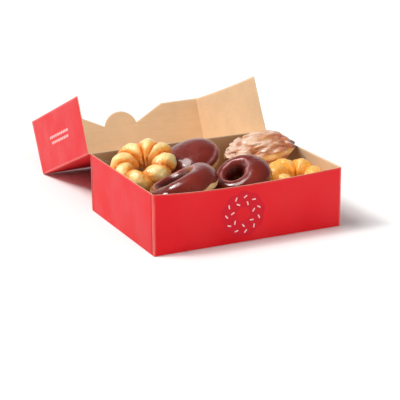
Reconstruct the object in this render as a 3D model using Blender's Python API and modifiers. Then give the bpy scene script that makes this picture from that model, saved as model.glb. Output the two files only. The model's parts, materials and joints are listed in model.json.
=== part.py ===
"""A one-piece paperboard box of a dozen doughnuts, its hinged lid thrown open behind it.

Metres, +Z up, +X along the width.  The origin is on the table under the middle of the tray.
"""
import math

import bmesh
import bpy
from mathutils import Vector, noise

# ---- Driving dimensions of the paperboard box ----
BOX_WIDTH = 0.236           # outside, left to right
BOX_DEPTH = 0.186           # outside, front to back
WALL_HEIGHT = 0.071
BOARD = 0.0008              # thickness of the paperboard
FOLD_RADIUS = 0.0012        # softness of a folded edge
RIM_DIP = 0.0040            # the front rim sags this much left of its middle
WALL_BOW = 0.0022           # and its front wall bows out this much at the rim
GAP = 0.0004                # air kept between pieces that only rest on each other

# ---- Lid: a shallow cover whose skirts close over the outside of the tray ----
LID_CLEARANCE = 0.0010      # each side, between tray wall and closed skirt
LID_DEPTH = BOX_DEPTH + LID_CLEARANCE + BOARD
LID_HALF_WIDTH = BOX_WIDTH / 2 + LID_CLEARANCE + BOARD / 2
SKIRT_HEIGHT = 0.0715
SKIRT_FLARE = 0.0012        # the free edge of a side skirt stands out this much
HINGE_GAP = 0.0013          # from the hinge line to the first edge of the lid's board
HINGE_EDGE_SLANT = 0.0065   # a side skirt's hinge end leans back this much at its top
HINGE_END_LEAN = 0.0004     # a side skirt's hinge end leans in this much at its top
FRONT_LEAN = 0.0065         # the front skirt's corners lean out this much at their top
LID_TWIST = 0.0052          # the far right corner of the lid lifts this much off the table
LID_ROWS = 4                # rows of facets along the lid
TONGUE_RADIUS = 0.0238
TONGUE_CENTRE = 0.0442      # height of the tongue's centre above the fold
NOTCH_X = 0.0230            # from the lid's middle to the notch beside the tongue
SHOULDER_X = 0.0635         # and to where the front skirt reaches its full height
# The lid lies back until its far fold rests on the table.
OPEN_SLOPE = math.asin(WALL_HEIGHT / LID_DEPTH)

# ---- Doughnuts ----
# Middle of the tube, half its width, half its height, share by which one side is fatter, and
# the direction of that side in degrees.
WIDE_RING = (0.0283, 0.0126, 0.0150, 0.35, -32)
PLUMP_RING = (0.0215, 0.0134, 0.0160, 0.22, -34)
RING_SOLE = 0.72            # share of a tube's half height where its underside goes flat
ICING = 0.0018              # thickness of the chocolate coat
ICING_OUTER_EDGE = -14      # degrees below the tube's widest line, outside
ICING_INNER_EDGE = 205      # and inside the hole
ROUND_RADIUS = 0.0365       # filled doughnut without a hole
ROUND_HEIGHT = 0.0170       # half its height
ROUND_SOLE = 0.86
CRULLER_RADIUS = 0.0240
CRULLER_TUBE = 0.0148
CRULLER_SOLE = 0.78
CRULLER_POINTS = 1          # ridges met on one way round the tube
CRULLER_VALLEY = 0.72       # share of the tube's radius left between two ridges
CRULLER_RIDGE = 0.31        # share of it that a ridge adds
CRULLER_SHARPNESS = 0.7     # below 1 the ridges are broad and the valleys between them narrow
CRULLER_SWAY = 0.5          # radians by which the ridges stray from an even spacing
CRULLER_LEAN = 0.20         # share by which one side of a cruller is fatter
FRITTER_SIZE = (0.0455, 0.0395, 0.0205)     # half its length, width and height
FRITTER_SOLE = 0.48
FRITTER_PEAK = 0.35         # its top is this share of the way from the middle to the right end
FRITTER_FALLS = (0.42, 0.62)        # share by which its left and its right end are lower
LOWER_RADIUS = 0.0375       # plain rounds of the lower layer
LOWER_HEIGHT = 0.0160

# What lies on top: name, centre (x, y, z) and tilt (about x, then y, then z, in degrees), then
# for a ring its sizes and seed, for a cruller its size, seed, ridges and fat side in degrees.
ICED_RINGS = (
    ("ring_front_left", (-0.0620, -0.0500, 0.0600), (-12, -18, 0), WIDE_RING, 0.4),
    ("ring_front_middle", (0.0115, -0.0500, 0.0590), (10, -25, 0), PLUMP_RING, 2.1),
)
CRULLERS = (
    ("cruller_back_left", (-0.0765, 0.0280, 0.0675), (10, -22, 20), 1.00, 0.9, 8, 30),
    ("cruller_front_right", (0.0788, -0.0525, 0.0525), (3, -6, 70), 0.94, 1.7, 6, 20),
)
ROUND_DOUGHNUT = ("round_back_middle", (-0.0130, 0.0370, 0.0622), (10, -25, 0))
FRITTER = ("fritter_back_right", (0.0700, 0.0205, 0.0690), (-4, -6, -8))
LOWER_SPOTS = (
    ("lower_front_left", (-0.0785, -0.0520)), ("lower_front_middle", (0.0000, -0.0535)),
    ("lower_front_right", (0.0785, -0.0520)), ("lower_back_left", (-0.0785, 0.0500)),
    ("lower_back_middle", (0.0000, 0.0515)), ("lower_back_right", (0.0785, 0.0500)),
)


# ---- Setting up ----
def clear_scene():
    """Remove what the start-up file holds."""
    for obj in list(bpy.data.objects):
        bpy.data.objects.remove(obj, do_unlink=True)


def new_collection(name):
    """Make a collection and link it under the scene."""
    collection = bpy.data.collections.new(name)
    bpy.context.scene.collection.children.link(collection)
    return collection


def new_material(name, colour, roughness):
    """A non-metallic Principled material of one colour."""
    material = bpy.data.materials.new(name)
    material.use_nodes = True
    shader = material.node_tree.nodes["Principled BSDF"]
    shader.inputs["Base Color"].default_value = (*colour, 1)
    shader.inputs["Roughness"].default_value = roughness
    shader.inputs["Metallic"].default_value = 0
    return material


def new_object(name, bm, collection, material, smooth=False):
    """Turn a bmesh into a named object with one material."""
    mesh = bpy.data.meshes.new(name)
    bm.to_mesh(mesh)
    bm.free()
    obj = bpy.data.objects.new(name, mesh)
    obj.data.materials.append(material)
    collection.objects.link(obj)
    if smooth:
        mesh.shade_smooth()
    return obj


def place(obj, centre, tilt):
    """Put an object at its centre, turned by a tilt in degrees."""
    obj.location = centre
    obj.rotation_euler = [math.radians(angle) for angle in tilt]
    return obj


def add_board(obj, offset):
    """Give an open surface the thickness of the paperboard."""
    solidify = obj.modifiers.new("board", 'SOLIDIFY')
    solidify.thickness = BOARD
    solidify.offset = offset
    solidify.use_even_offset = True


def soften_folds(bm):
    """Round every fold, which is an edge with a panel on both sides that meet at an angle."""
    bm.normal_update()
    folds = [edge for edge in bm.edges
             if len(edge.link_faces) == 2 and edge.calc_face_angle() > math.radians(30)]
    bmesh.ops.bevel(bm, geom=folds, offset=FOLD_RADIUS, segments=2, profile=0.5, affect='EDGES')


# ---- The tray ----
def make_tray(collection, material):
    """Four walls and a floor folded from one sheet; the front rim sags a little."""
    bm = bmesh.new()
    bmesh.ops.create_cube(bm, size=1)
    bmesh.ops.scale(bm, vec=(BOX_WIDTH, BOX_DEPTH, WALL_HEIGHT), verts=bm.verts)
    bmesh.ops.translate(bm, vec=(0, 0, WALL_HEIGHT / 2), verts=bm.verts)
    top = [face for face in bm.faces if face.normal.z > 0.5]
    bmesh.ops.delete(bm, geom=top, context='FACES')
    soften_folds(bm)
    cuts = 10
    for step in range(1, cuts):
        x = BOX_WIDTH * (step / cuts - 0.5)
        geometry = bm.verts[:] + bm.edges[:] + bm.faces[:]
        bmesh.ops.bisect_plane(bm, geom=geometry, plane_co=(x, 0, 0), plane_no=(1, 0, 0))
    for vert in bm.verts:
        if vert.co.z > WALL_HEIGHT - 0.0001 and vert.co.y < -BOX_DEPTH / 2 + 0.0001:
            vert.co.z -= RIM_DIP * rim_share(vert.co.x)
            vert.co.y -= WALL_BOW * rim_share(vert.co.x)
    bmesh.ops.recalc_face_normals(bm, faces=bm.faces)
    tray = new_object("tray", bm, collection, material)
    add_board(tray, -1)
    return tray


def rim_share(x):
    """Share of the front rim's dip and bow at x: none at the corners, most left of the middle."""
    along = x / BOX_WIDTH + 0.5
    return math.sin(math.pi * min(1, max(0, along)) ** 0.8)


# ---- The lid ----
def skirt_outline(x):
    """Height of the front skirt's free edge at x: tongue, notches, diagonals and shoulders."""
    x = abs(x)
    if x <= NOTCH_X:
        return TONGUE_CENTRE + math.sqrt(TONGUE_RADIUS ** 2 - x ** 2)
    notch_height = TONGUE_CENTRE + math.sqrt(TONGUE_RADIUS ** 2 - NOTCH_X ** 2)
    if x >= SHOULDER_X:
        return SKIRT_HEIGHT
    share = (x - NOTCH_X) / (SHOULDER_X - NOTCH_X)
    return notch_height + share * (SKIRT_HEIGHT - notch_height)


def skirt_columns():
    """Values of x where the front skirt has an upright line, closer together on the tongue."""
    arc = [NOTCH_X * math.sin(math.pi / 2 * step / 5) for step in range(6)]
    outer = [0.034, 0.047, SHOULDER_X, 0.080, 0.100, LID_HALF_WIDTH]
    right = arc + outer
    return [-x for x in reversed(right)] + right[1:]


def lid_point(x, along, height):
    """A point of the lid: along from the hinge line, height above the twisted panel."""
    side = x / LID_HALF_WIDTH
    reach = along / LID_DEPTH
    lean = (SKIRT_FLARE * reach - HINGE_END_LEAN * (1 - reach)) * (height / SKIRT_HEIGHT) * side
    return Vector((x + lean, along, height + LID_TWIST * reach ** 2 * (1 + side) / 2))


def front_point(x, height):
    """A point of the front skirt, whose corners lean out while its middle stands straight."""
    lean = FRONT_LEAN * (height / SKIRT_HEIGHT) * (x / LID_HALF_WIDTH) ** 2
    return lid_point(x, LID_DEPTH + lean, height)


def make_strip(bm, first, second):
    """Quads between two rows of vertices of equal length."""
    for index in range(len(first) - 1):
        bm.faces.new((first[index], first[index + 1], second[index + 1], second[index]))


def make_lid(collection, material):
    """Panel, two side skirts and the front skirt as one folded sheet."""
    bm = bmesh.new()
    columns = skirt_columns()
    rows = [HINGE_GAP + (LID_DEPTH - HINGE_GAP) * step / LID_ROWS for step in range(LID_ROWS)]
    panel = [[bm.verts.new(lid_point(x, along, 0)) for x in columns] for along in rows]
    panel.append([bm.verts.new(front_point(x, 0)) for x in columns])
    edge = [bm.verts.new(front_point(x, skirt_outline(x))) for x in columns]
    for near, far in zip(panel, panel[1:]):
        make_strip(bm, near, far)
    make_strip(bm, panel[-1], edge)
    for side in (0, -1):
        x = columns[side]
        top = [bm.verts.new(lid_point(x, along + HINGE_EDGE_SLANT * (1 - along / LID_DEPTH), SKIRT_HEIGHT))
               for along in rows]
        make_strip(bm, [row[side] for row in panel], top + [edge[side]])
    bmesh.ops.recalc_face_normals(bm, faces=bm.faces)
    soften_folds(bm)
    lid = new_object("lid", bm, collection, material)
    add_board(lid, 0)
    return lid


# ---- Rings ----
def angle_steps(start, end, count):
    """Angles in radians from start to end, both in degrees, ends included."""
    return [math.radians(start + (end - start) * step / (count - 1)) for step in range(count)]


def rested(rise, sole, ease=0.3):
    """A height eased towards flat below the sole that a doughnut rests on."""
    return max(rise, ease * (rise + sole) - sole)


def tube_point(turn, phi, inset, sizes, seed):
    """A point on an uneven ring: turn round the ring, phi round the tube, inset into it."""
    radius, half_width, half_height, fatter, fat_side = sizes
    side = fatter * math.cos(turn - math.radians(fat_side))
    radius -= half_width * side
    width = half_width * (1 + side + 0.05 * math.sin(2 * turn + seed)) - inset
    height = half_height * (1 + side / 2 + 0.04 * math.sin(3 * turn + 2 * seed)) - inset
    out = radius * (1 + 0.02 * math.sin(2 * turn + 3 * seed)) + width * math.cos(phi)
    rise = rested(height * math.sin(phi), RING_SOLE * half_height, 0.25)
    return Vector((out * math.cos(turn), out * math.sin(turn), rise))


def make_ring(name, collection, material, section, sizes, seed, segments=28):
    """A closed ring whose section is a list of (phi, inset) pairs."""
    bpy.ops.mesh.primitive_torus_add(major_segments=segments, minor_segments=len(section),
                                     major_radius=sizes[0], minor_radius=sizes[1])
    obj = bpy.context.object
    obj.name = name
    for user in list(obj.users_collection):
        user.objects.unlink(obj)
    collection.objects.link(obj)
    for index, vert in enumerate(obj.data.vertices):
        turn = 2 * math.pi * (index // len(section)) / segments
        phi, inset = section[index % len(section)]
        vert.co = tube_point(turn, phi, inset, sizes, seed)
    obj.data.materials.append(material)
    obj.data.shade_smooth()
    return obj


def dough_section():
    """Round the tube: set back under the icing, full below it."""
    iced = [(phi, ICING + GAP) for phi in angle_steps(ICING_OUTER_EDGE, ICING_INNER_EDGE, 9)]
    bare = [(phi, 0) for phi in angle_steps(ICING_INNER_EDGE + 14, 360 + ICING_OUTER_EDGE - 14, 5)]
    return iced + bare


def icing_section():
    """A crescent: over the outside of the coat and back along its inside."""
    outside = [(phi, 0) for phi in angle_steps(ICING_OUTER_EDGE, ICING_INNER_EDGE, 9)]
    inside = [(phi, ICING) for phi in angle_steps(ICING_INNER_EDGE, ICING_OUTER_EDGE, 9)]
    outside[0] = (outside[0][0], ICING * 0.4)
    outside[-1] = (outside[-1][0], ICING * 0.4)
    return outside + inside[1:-1]


# ---- Domes ----
def dome_point(turn, lift, inset, radius, height, seed):
    """A point on an uneven round doughnut: lift is -90 degrees below to 90 on top."""
    side = abs(math.cos(lift)) ** 0.8
    out = (radius * (1 + 0.025 * math.sin(2 * turn + seed)) - inset) * side
    rise = rested((height - inset) * math.sin(lift), ROUND_SOLE * height)
    return Vector((out * math.cos(turn), out * math.sin(turn), rise))


def make_dome(name, collection, material, rows, radius, height, seed, segments=24):
    """A closed round body from rows of (lift, inset), the lowest first, between two poles."""
    bm = bmesh.new()
    bmesh.ops.create_uvsphere(bm, u_segments=segments, v_segments=len(rows) - 1, radius=1)
    count = len(rows) - 1
    for vert in bm.verts:
        polar = math.acos(max(-1, min(1, vert.co.z)))
        row = count - round(polar / math.pi * count)
        turn = math.atan2(vert.co.y, vert.co.x)
        lift, inset = rows[row]
        vert.co = dome_point(turn, lift, inset, radius, height, seed)
    return new_object(name, bm, collection, material, smooth=True)


def round_dough_rows():
    """Bare below, set back under the icing above."""
    bare = [(lift, 0) for lift in angle_steps(-90, -20, 5)]
    iced = [(lift, ICING + GAP) for lift in angle_steps(-6, 90, 7)]
    return bare + iced


def round_icing_rows():
    """The underside of the coat from its middle out to the edge, then over the outside."""
    inside = [(lift, ICING) for lift in angle_steps(90, 10, 6)]
    outside = [(lift, 0) for lift in angle_steps(-6, 90, 7)]
    outside[0] = (outside[0][0], ICING * 0.5)
    return inside + outside


# ---- Crullers ----
def cruller_point(turn, phi, size, seed, turns, fat_side):
    """A piped star section that turns as it runs round the ring, so its ridges spiral."""
    wave = CRULLER_POINTS * phi + turns * turn + seed + CRULLER_SWAY * math.sin(2 * turn + seed)
    ridge = CRULLER_VALLEY + CRULLER_RIDGE * abs(math.cos(wave / 2)) ** CRULLER_SHARPNESS
    side = CRULLER_LEAN * math.cos(turn - fat_side)
    uneven = 1 + side + 0.04 * math.sin(3 * turn + 2 * seed)
    tube = CRULLER_TUBE * ridge * uneven * size
    out = (CRULLER_RADIUS - CRULLER_TUBE * side) * size + tube * math.cos(phi)
    rise = rested(tube * math.sin(phi), CRULLER_SOLE * CRULLER_TUBE * size)
    return Vector((out * math.cos(turn), out * math.sin(turn), rise))


def make_cruller(name, collection, material, shape, major=64, minor=10):
    """A closed ring of choux; shape is its size, seed, ridges round the ring and fat side."""
    size, seed, turns, fat_side = shape
    bpy.ops.mesh.primitive_torus_add(major_segments=major, minor_segments=minor,
                                     major_radius=CRULLER_RADIUS, minor_radius=CRULLER_TUBE)
    obj = bpy.context.object
    obj.name = name
    for user in list(obj.users_collection):
        user.objects.unlink(obj)
    collection.objects.link(obj)
    for index, vert in enumerate(obj.data.vertices):
        turn = 2 * math.pi * (index // minor) / major
        phi = 2 * math.pi * (index % minor) / minor
        vert.co = cruller_point(turn, phi, size, seed, turns, math.radians(fat_side))
    obj.data.materials.append(material)
    obj.data.shade_smooth()
    return obj


# ---- Fritter ----
def make_fritter(name, collection, material):
    """A flat lump of fried dough with a knobbly top."""
    bm = bmesh.new()
    bmesh.ops.create_icosphere(bm, subdivisions=4, radius=1)
    for vert in bm.verts:
        direction = vert.co.normalized()
        lumps = noise.noise(direction * 2.6 + Vector((3.1, 0.4, 7.7)))
        knobs = noise.noise(direction * 5.5 + Vector((0.2, 5.3, 1.9)))
        swell = 1 + 0.10 * lumps + 0.07 * knobs * max(0, direction.z + 0.4)
        side = math.hypot(direction.x, direction.y)
        fuller = side ** 0.75 / max(side, 0.001)
        rise = rested(direction.z, FRITTER_SOLE, 0.2) * fritter_fall(direction.x)
        shape = Vector((direction.x * fuller, direction.y * fuller, rise))
        vert.co = shape * Vector(FRITTER_SIZE) * swell
    return new_object(name, bm, collection, material, smooth=True)


def fritter_fall(across):
    """Share of the full height at across, which is -1 at the left end and 1 at the right."""
    left, right = FRITTER_FALLS
    if across < FRITTER_PEAK:
        return 1 - left * ((FRITTER_PEAK - across) / (1 + FRITTER_PEAK)) ** 1.2
    return 1 - right * ((across - FRITTER_PEAK) / (1 - FRITTER_PEAK)) ** 1.5


# ---- Putting it together ----
def main():
    clear_scene()
    parts = new_collection("box_of_doughnuts")
    red_board = new_material("red_board", (0.78, 0.03, 0.04), 0.45)
    chocolate = new_material("chocolate_icing", (0.14, 0.025, 0.015), 0.18)
    ring_dough = new_material("ring_dough", (0.80, 0.50, 0.22), 0.6)
    choux = new_material("glazed_choux", (0.95, 0.66, 0.30), 0.35)
    glazed = new_material("glazed_fritter", (0.60, 0.30, 0.16), 0.3)

    make_tray(parts, red_board)
    lid = make_lid(parts, red_board)
    place(lid, (0, BOX_DEPTH / 2, WALL_HEIGHT), (math.degrees(-OPEN_SLOPE), 0, 0))

    for name, centre, tilt, sizes, seed in ICED_RINGS:
        place(make_ring(name, parts, ring_dough, dough_section(), sizes, seed), centre, tilt)
        place(make_ring(name + "_icing", parts, chocolate, icing_section(), sizes, seed), centre, tilt)
    for name, centre, tilt, *shape in CRULLERS:
        place(make_cruller(name, parts, choux, shape), centre, tilt)

    name, centre, tilt = ROUND_DOUGHNUT
    sizes = (ROUND_RADIUS, ROUND_HEIGHT, 0.9)
    place(make_dome(name, parts, ring_dough, round_dough_rows(), *sizes), centre, tilt)
    place(make_dome(name + "_icing", parts, chocolate, round_icing_rows(), *sizes), centre, tilt)

    name, centre, tilt = FRITTER
    place(make_fritter(name, parts, glazed), centre, tilt)

    rows = [(lift, 0) for lift in angle_steps(-90, 90, 9)]
    for index, (name, (x, y)) in enumerate(LOWER_SPOTS):
        lower = make_dome(name, parts, ring_dough, rows, LOWER_RADIUS, LOWER_HEIGHT, index, segments=18)
        base = min(vert.co.z for vert in lower.data.vertices)
        place(lower, (x, y, BOARD + GAP - base), (0, 0, 0))


main()
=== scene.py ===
"""Detailed looks for a takeaway box of doughnuts, laid out as a Blender add-on.

Each operator builds one piece, or one group of like pieces, round the loaded frame.
Metres, +Z up; the box's front faces -Y and its lid lies open behind it.
"""

import json
import math

import bmesh
import bpy
import numpy as np
from bpy.props import FloatProperty, FloatVectorProperty, IntProperty, PointerProperty
from mathutils import Euler, Matrix, Vector, noise


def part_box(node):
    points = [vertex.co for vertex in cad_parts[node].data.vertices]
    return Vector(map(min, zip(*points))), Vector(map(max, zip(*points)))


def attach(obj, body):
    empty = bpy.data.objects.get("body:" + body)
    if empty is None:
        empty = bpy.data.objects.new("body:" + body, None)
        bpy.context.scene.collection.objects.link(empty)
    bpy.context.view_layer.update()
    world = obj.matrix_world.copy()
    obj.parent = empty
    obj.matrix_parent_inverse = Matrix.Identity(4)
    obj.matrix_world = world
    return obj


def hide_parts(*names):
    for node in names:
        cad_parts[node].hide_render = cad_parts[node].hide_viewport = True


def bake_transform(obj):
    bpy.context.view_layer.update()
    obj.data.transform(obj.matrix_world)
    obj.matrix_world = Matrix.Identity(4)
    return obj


bl_info = {
    "name": "Box of Doughnuts",
    "version": (1, 0, 0),
    "blender": (4, 5, 0),
    "location": "3D Viewport > Sidebar > Doughnuts",
    "description": "Builds a folded paperboard box of iced rings, crullers and a fritter",
    "category": "Object",
}

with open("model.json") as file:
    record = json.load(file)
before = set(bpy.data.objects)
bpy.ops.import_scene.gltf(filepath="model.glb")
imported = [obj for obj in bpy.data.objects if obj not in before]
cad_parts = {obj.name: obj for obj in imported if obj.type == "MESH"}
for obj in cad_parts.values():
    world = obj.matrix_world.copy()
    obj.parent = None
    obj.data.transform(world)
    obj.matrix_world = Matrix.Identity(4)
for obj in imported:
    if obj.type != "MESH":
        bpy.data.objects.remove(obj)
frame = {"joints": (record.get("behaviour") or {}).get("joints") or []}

# ---- Sizes read from the frame ----
TRAY_LOW, TRAY_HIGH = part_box("tray")
HINGE = Vector(frame["joints"][0]["pos_m"])
HALF_WIDTH = TRAY_HIGH.x
HALF_DEPTH = TRAY_HIGH.y
WALL_HEIGHT = TRAY_HIGH.z
FRONT_BOW = -TRAY_LOW.y - TRAY_HIGH.y       # the front rim bows out this far

# ---- Board ----
BOARD = 0.0008                              # thickness
FOLD_RADIUS = 0.0012                        # outside radius of a fold
RIM_DIP = 0.0040                            # the front rim sags this much left of its middle
CREASE_START = 0.0007                       # the tray's back wall ends this far below the hinge
# The groove pressed into the side walls beside the corners: distance, width and depth.
GROOVE_AWAY, GROOVE_WIDTH, GROOVE_DEPTH = 0.0030, 0.0010, 0.00025
# A glue flap: reach, how much each end tapers, how far its free edge lifts, its board.
FLAP_REACH, FLAP_TAPER, FLAP_LIFT, FLAP_BOARD = 0.024, 0.010, 0.0012, 0.0006

# ---- Lid ----
LID_DEPTH = 2 * HALF_DEPTH + 0.0018
LID_HALF_WIDTH = HALF_WIDTH + 0.0014
SKIRT_HEIGHT = 0.0715
SKIRT_FLARE = 0.0012                        # the side skirts lean out this much at the far end
HINGE_END_LEAN = 0.0004                     # and in this much at the hinge end
HINGE_EDGE_SLANT = 0.0065                   # their edge by the hinge slants back this much
HINGE_GAP = 0.0013                          # the panel starts this far from the hinge line
FRONT_LEAN = 0.0065                         # the front skirt's corners lean out this much
LID_TWIST = 0.0052                          # the panel's far right corner is raised this much
TONGUE_RADIUS = 0.0238
TONGUE_CENTRE = 0.0442                      # height of the tongue's centre over the panel
NOTCH_X = 0.0230                            # the notches beside the tongue
SHOULDER_X = 0.0635                         # where the diagonals reach the full height
OPEN_SLOPE = math.asin(WALL_HEIGHT / LID_DEPTH)

# ---- Print ----
WALL_SEAL_LEFT = 0.0090                     # the front wall's seal is this far left of the middle
WALL_SEAL_HEIGHT = 0.47                     # as a share of the wall's height
WALL_SEAL_RADIUS = 0.0268
LID_SEAL_RADIUS = 0.052
# Each ring of sprinkles: share of the seal's radius, count, turn and slant in radians.
SPRINKLE_RINGS = ((0.50, 7, 0.2, 0.9), (0.77, 11, 0.55, -0.7))
# Each row of dashes on the lid's left skirt: height over the panel, start and end from the hinge.
DASH_ROWS = ((0.0396, 0.060, 0.133), (0.0323, 0.062, 0.1275))
DASHES_PER_METRE = 85
DASH_WAVE = (700, 0.0005)                   # turns in radians per metre, and height

# ---- Doughnuts: name, tilt about x, y and z in degrees, then sizes ----
# A ring's sizes: middle of the tube, half its width, half its height, share by which one side
# is fatter, the direction of that side in degrees, and how far round into the hole its coat
# goes. Its last number, like the round's, is a seed.
WIDE_RING = (0.0283, 0.0126, 0.0150, 0.35, -32, 246)
PLUMP_RING = (0.0215, 0.0134, 0.0160, 0.22, -34, 236)
RINGS = (
    ("ring_front_left", (-12, -18, 0), WIDE_RING, 0.4),
    ("ring_front_middle", (10, -25, 0), PLUMP_RING, 2.1),
)
ROUND = ("round_back_middle", (10, -25, 0), 0.0365, 0.0170, 0.9)      # radius, half height
# A cruller's tilt, size, phase, ridges met round the ring, its fat side in degrees and how far
# it is browned.
CRULLERS = (
    ("cruller_back_left", (10, -22, 20), 1.00, 0.9, 8, 30, 0.12),
    ("cruller_front_right", (3, -6, 70), 0.94, 1.7, 6, 20, 0.95),
)
FRITTER = ("fritter_back_right", (-4, -6, -8), (0.0455, 0.0395, 0.0205))
# Where along the fritter its peak lies, and how far the top falls to its left and right ends.
FRITTER_PEAK = 0.35
FRITTER_FALLS = (0.42, 0.62)
FRITTER_SEED = 4            # fixes the noise that bends its creases, which else differs each run
# Share of the half height at which each kind's underside flattens.
RING_SOLE, ROUND_SOLE, CRULLER_SOLE, FRITTER_SOLE = 0.72, 0.86, 0.78, 0.48
COAT_SUNK = 0.72            # share of a coat's thickness by which its dough is drawn in
COAT_BACK = 0.80            # share of its thickness at which a coat's back lies at its edge
COAT_EDGE = 5               # a coat rounds off over this many degrees at its edge
LIP_ANGLE = 106             # degrees round a ring's tube, from its outside, to the coat's lip
ROUND_LIP = 22              # degrees up the round's side to its lip
# Painted shade darkens each ring's hole over these degrees round the tube.
HOLLOW_SHADE = (112, 150)         # degrees round the tube over which a ring's hole darkens
# The drop of white glaze on the front rim: its middle and half its sizes.
DROP = ((-0.1030, -HALF_DEPTH + 0.0004, WALL_HEIGHT - 0.0014), (0.0030, 0.0010, 0.0013))
LOWER = ("lower_front_left", "lower_front_middle", "lower_front_right",
         "lower_back_left", "lower_back_middle", "lower_back_right")
LOWER_FILL = 0.958          # share of a lower round's full height left above its flat sole
# Crumbs on the floor: clear of the walls, above the board, number in a square metre.
CRUMB_MARGIN, CRUMB_LIFT, CRUMB_DENSITY = 0.004, 0.0003, 9000.0

# ---- Colours that no setting holds ----
SEAL_RED = (0.55, 0.006, 0.022)
SPRINKLE_WHITE = (0.92, 0.74, 0.72)
# Painted shade in the grooves beside the tray's corners.
GROOVE_SHADE_BROWN = (0.22, 0.012, 0.008)
# Paler pink on edges and folds: rubbed ink and a painted highlight.
WORN_HIGHLIGHT_PINK = (0.90, 0.26, 0.22)
BACK_WALL_SHADE = (0.36, 0.175, 0.075)
PALE_FIBRE = (0.92, 0.74, 0.52)
LIP_HIGHLIGHT_PINK = (0.55, 0.22, 0.21)
CHOUX_VALLEY_SHADE = (0.62, 0.13, 0.015)
CHOUX_SLOPE = (0.94, 0.36, 0.045)
CHOUX_PATCH = (0.96, 0.43, 0.10)
CHOUX_HOLE_SHADE = (0.84, 0.27, 0.035)
CHOUX_BAKED = (0.98, 0.44, 0.055)
CHOUX_SPOT = (0.92, 0.45, 0.09)
CHOUX_GLAZE = (1.0, 0.85, 0.50)
FRITTER_BROWN = (0.55, 0.20, 0.080)
FRITTER_TAN = (0.78, 0.44, 0.20)
FRITTER_SHADE_RED = (0.50, 0.150, 0.080)
FRITTER_CREASE_SHADE = (0.44, 0.13, 0.050)
FRITTER_SIDE = (0.90, 0.52, 0.17)
FRITTER_GLAZE = (0.91, 0.67, 0.51)
FRITTER_END_SHADE = (0.13, 0.040, 0.018)


# ---- What a user may change ----
class BoardSettings(bpy.types.PropertyGroup):
    """The paperboard of the box."""
    thickness: FloatProperty(name="Board", description="Thickness of the paperboard",
                             default=BOARD, min=0.0003, max=0.002, unit='LENGTH', precision=5)
    waviness: FloatProperty(name="Waviness", description="How far a panel strays from flat",
                            default=0.0003, min=0, max=0.001, unit='LENGTH', precision=5)
    print_colour: FloatVectorProperty(name="Print", description="Printed red of the outside",
                                      subtype='COLOR', size=3, default=(0.72, 0.010, 0.018),
                                      min=0, max=1)
    kraft_colour: FloatVectorProperty(name="Kraft", description="Bare brown board inside",
                                      subtype='COLOR', size=3, default=(0.79, 0.56, 0.35),
                                      min=0, max=1)


class IcingSettings(bpy.types.PropertyGroup):
    """The chocolate coats."""
    thickness: FloatProperty(name="Coat", description="Thickness of the chocolate coat",
                             default=0.0018, min=0.0008, max=0.003, unit='LENGTH', precision=5)
    colour: FloatVectorProperty(name="Chocolate", description="Colour of the chocolate coat",
                                subtype='COLOR', size=3, default=(0.175, 0.0165, 0.0095),
                                min=0, max=1)


class DoughSettings(bpy.types.PropertyGroup):
    """Fried dough of rings, rounds and the fritter."""
    crust_colour: FloatVectorProperty(name="Crust", description="Colour of the fried crust",
                                      subtype='COLOR', size=3, default=(0.60, 0.27, 0.075),
                                      min=0, max=1)
    band_colour: FloatVectorProperty(name="Band", description="Pale band where the dough floated",
                                     subtype='COLOR', size=3, default=(0.90, 0.66, 0.34),
                                     min=0, max=1)


class CrullerSettings(bpy.types.PropertyGroup):
    """The twisted choux rings."""
    ring_radius: FloatProperty(name="Ring Radius", description="Middle of the tube to the centre",
                               default=0.0240, min=0.015, max=0.035, unit='LENGTH', precision=4)
    tube_radius: FloatProperty(name="Tube Radius", description="Radius over the ridges",
                               default=0.0148, min=0.008, max=0.02, unit='LENGTH', precision=4)
    points: IntProperty(name="Points", description="Ridges met on one way round the tube",
                        default=1, min=1, max=12)
    lopsided: FloatProperty(name="Lopsided", description="Share by which one side is fatter",
                            default=0.20, min=0, max=0.3, subtype='FACTOR')
    ridge_colour: FloatVectorProperty(name="Ridge", description="Colour of the puffed ridges",
                                      subtype='COLOR', size=3, default=(1.0, 0.80, 0.34),
                                      min=0, max=1)


class StageSettings(bpy.types.PropertyGroup):
    """Light, floor and camera."""
    key_strength: FloatProperty(name="Key Light", description="Strength of the light on the left",
                                default=2.15, min=0, max=20)
    fill_strength: FloatProperty(name="Fill Light", description="Strength of the soft front light",
                                 default=1.40, min=0, max=20)
    glint_strength: FloatProperty(name="Small Light", description="Strength of the small light "
                                  "that gives the icing its glints", default=0.9, min=0, max=5)
    world_strength: FloatProperty(name="Surroundings", description="Strength of the pale room",
                                  default=0.9, min=0, max=4)


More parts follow.
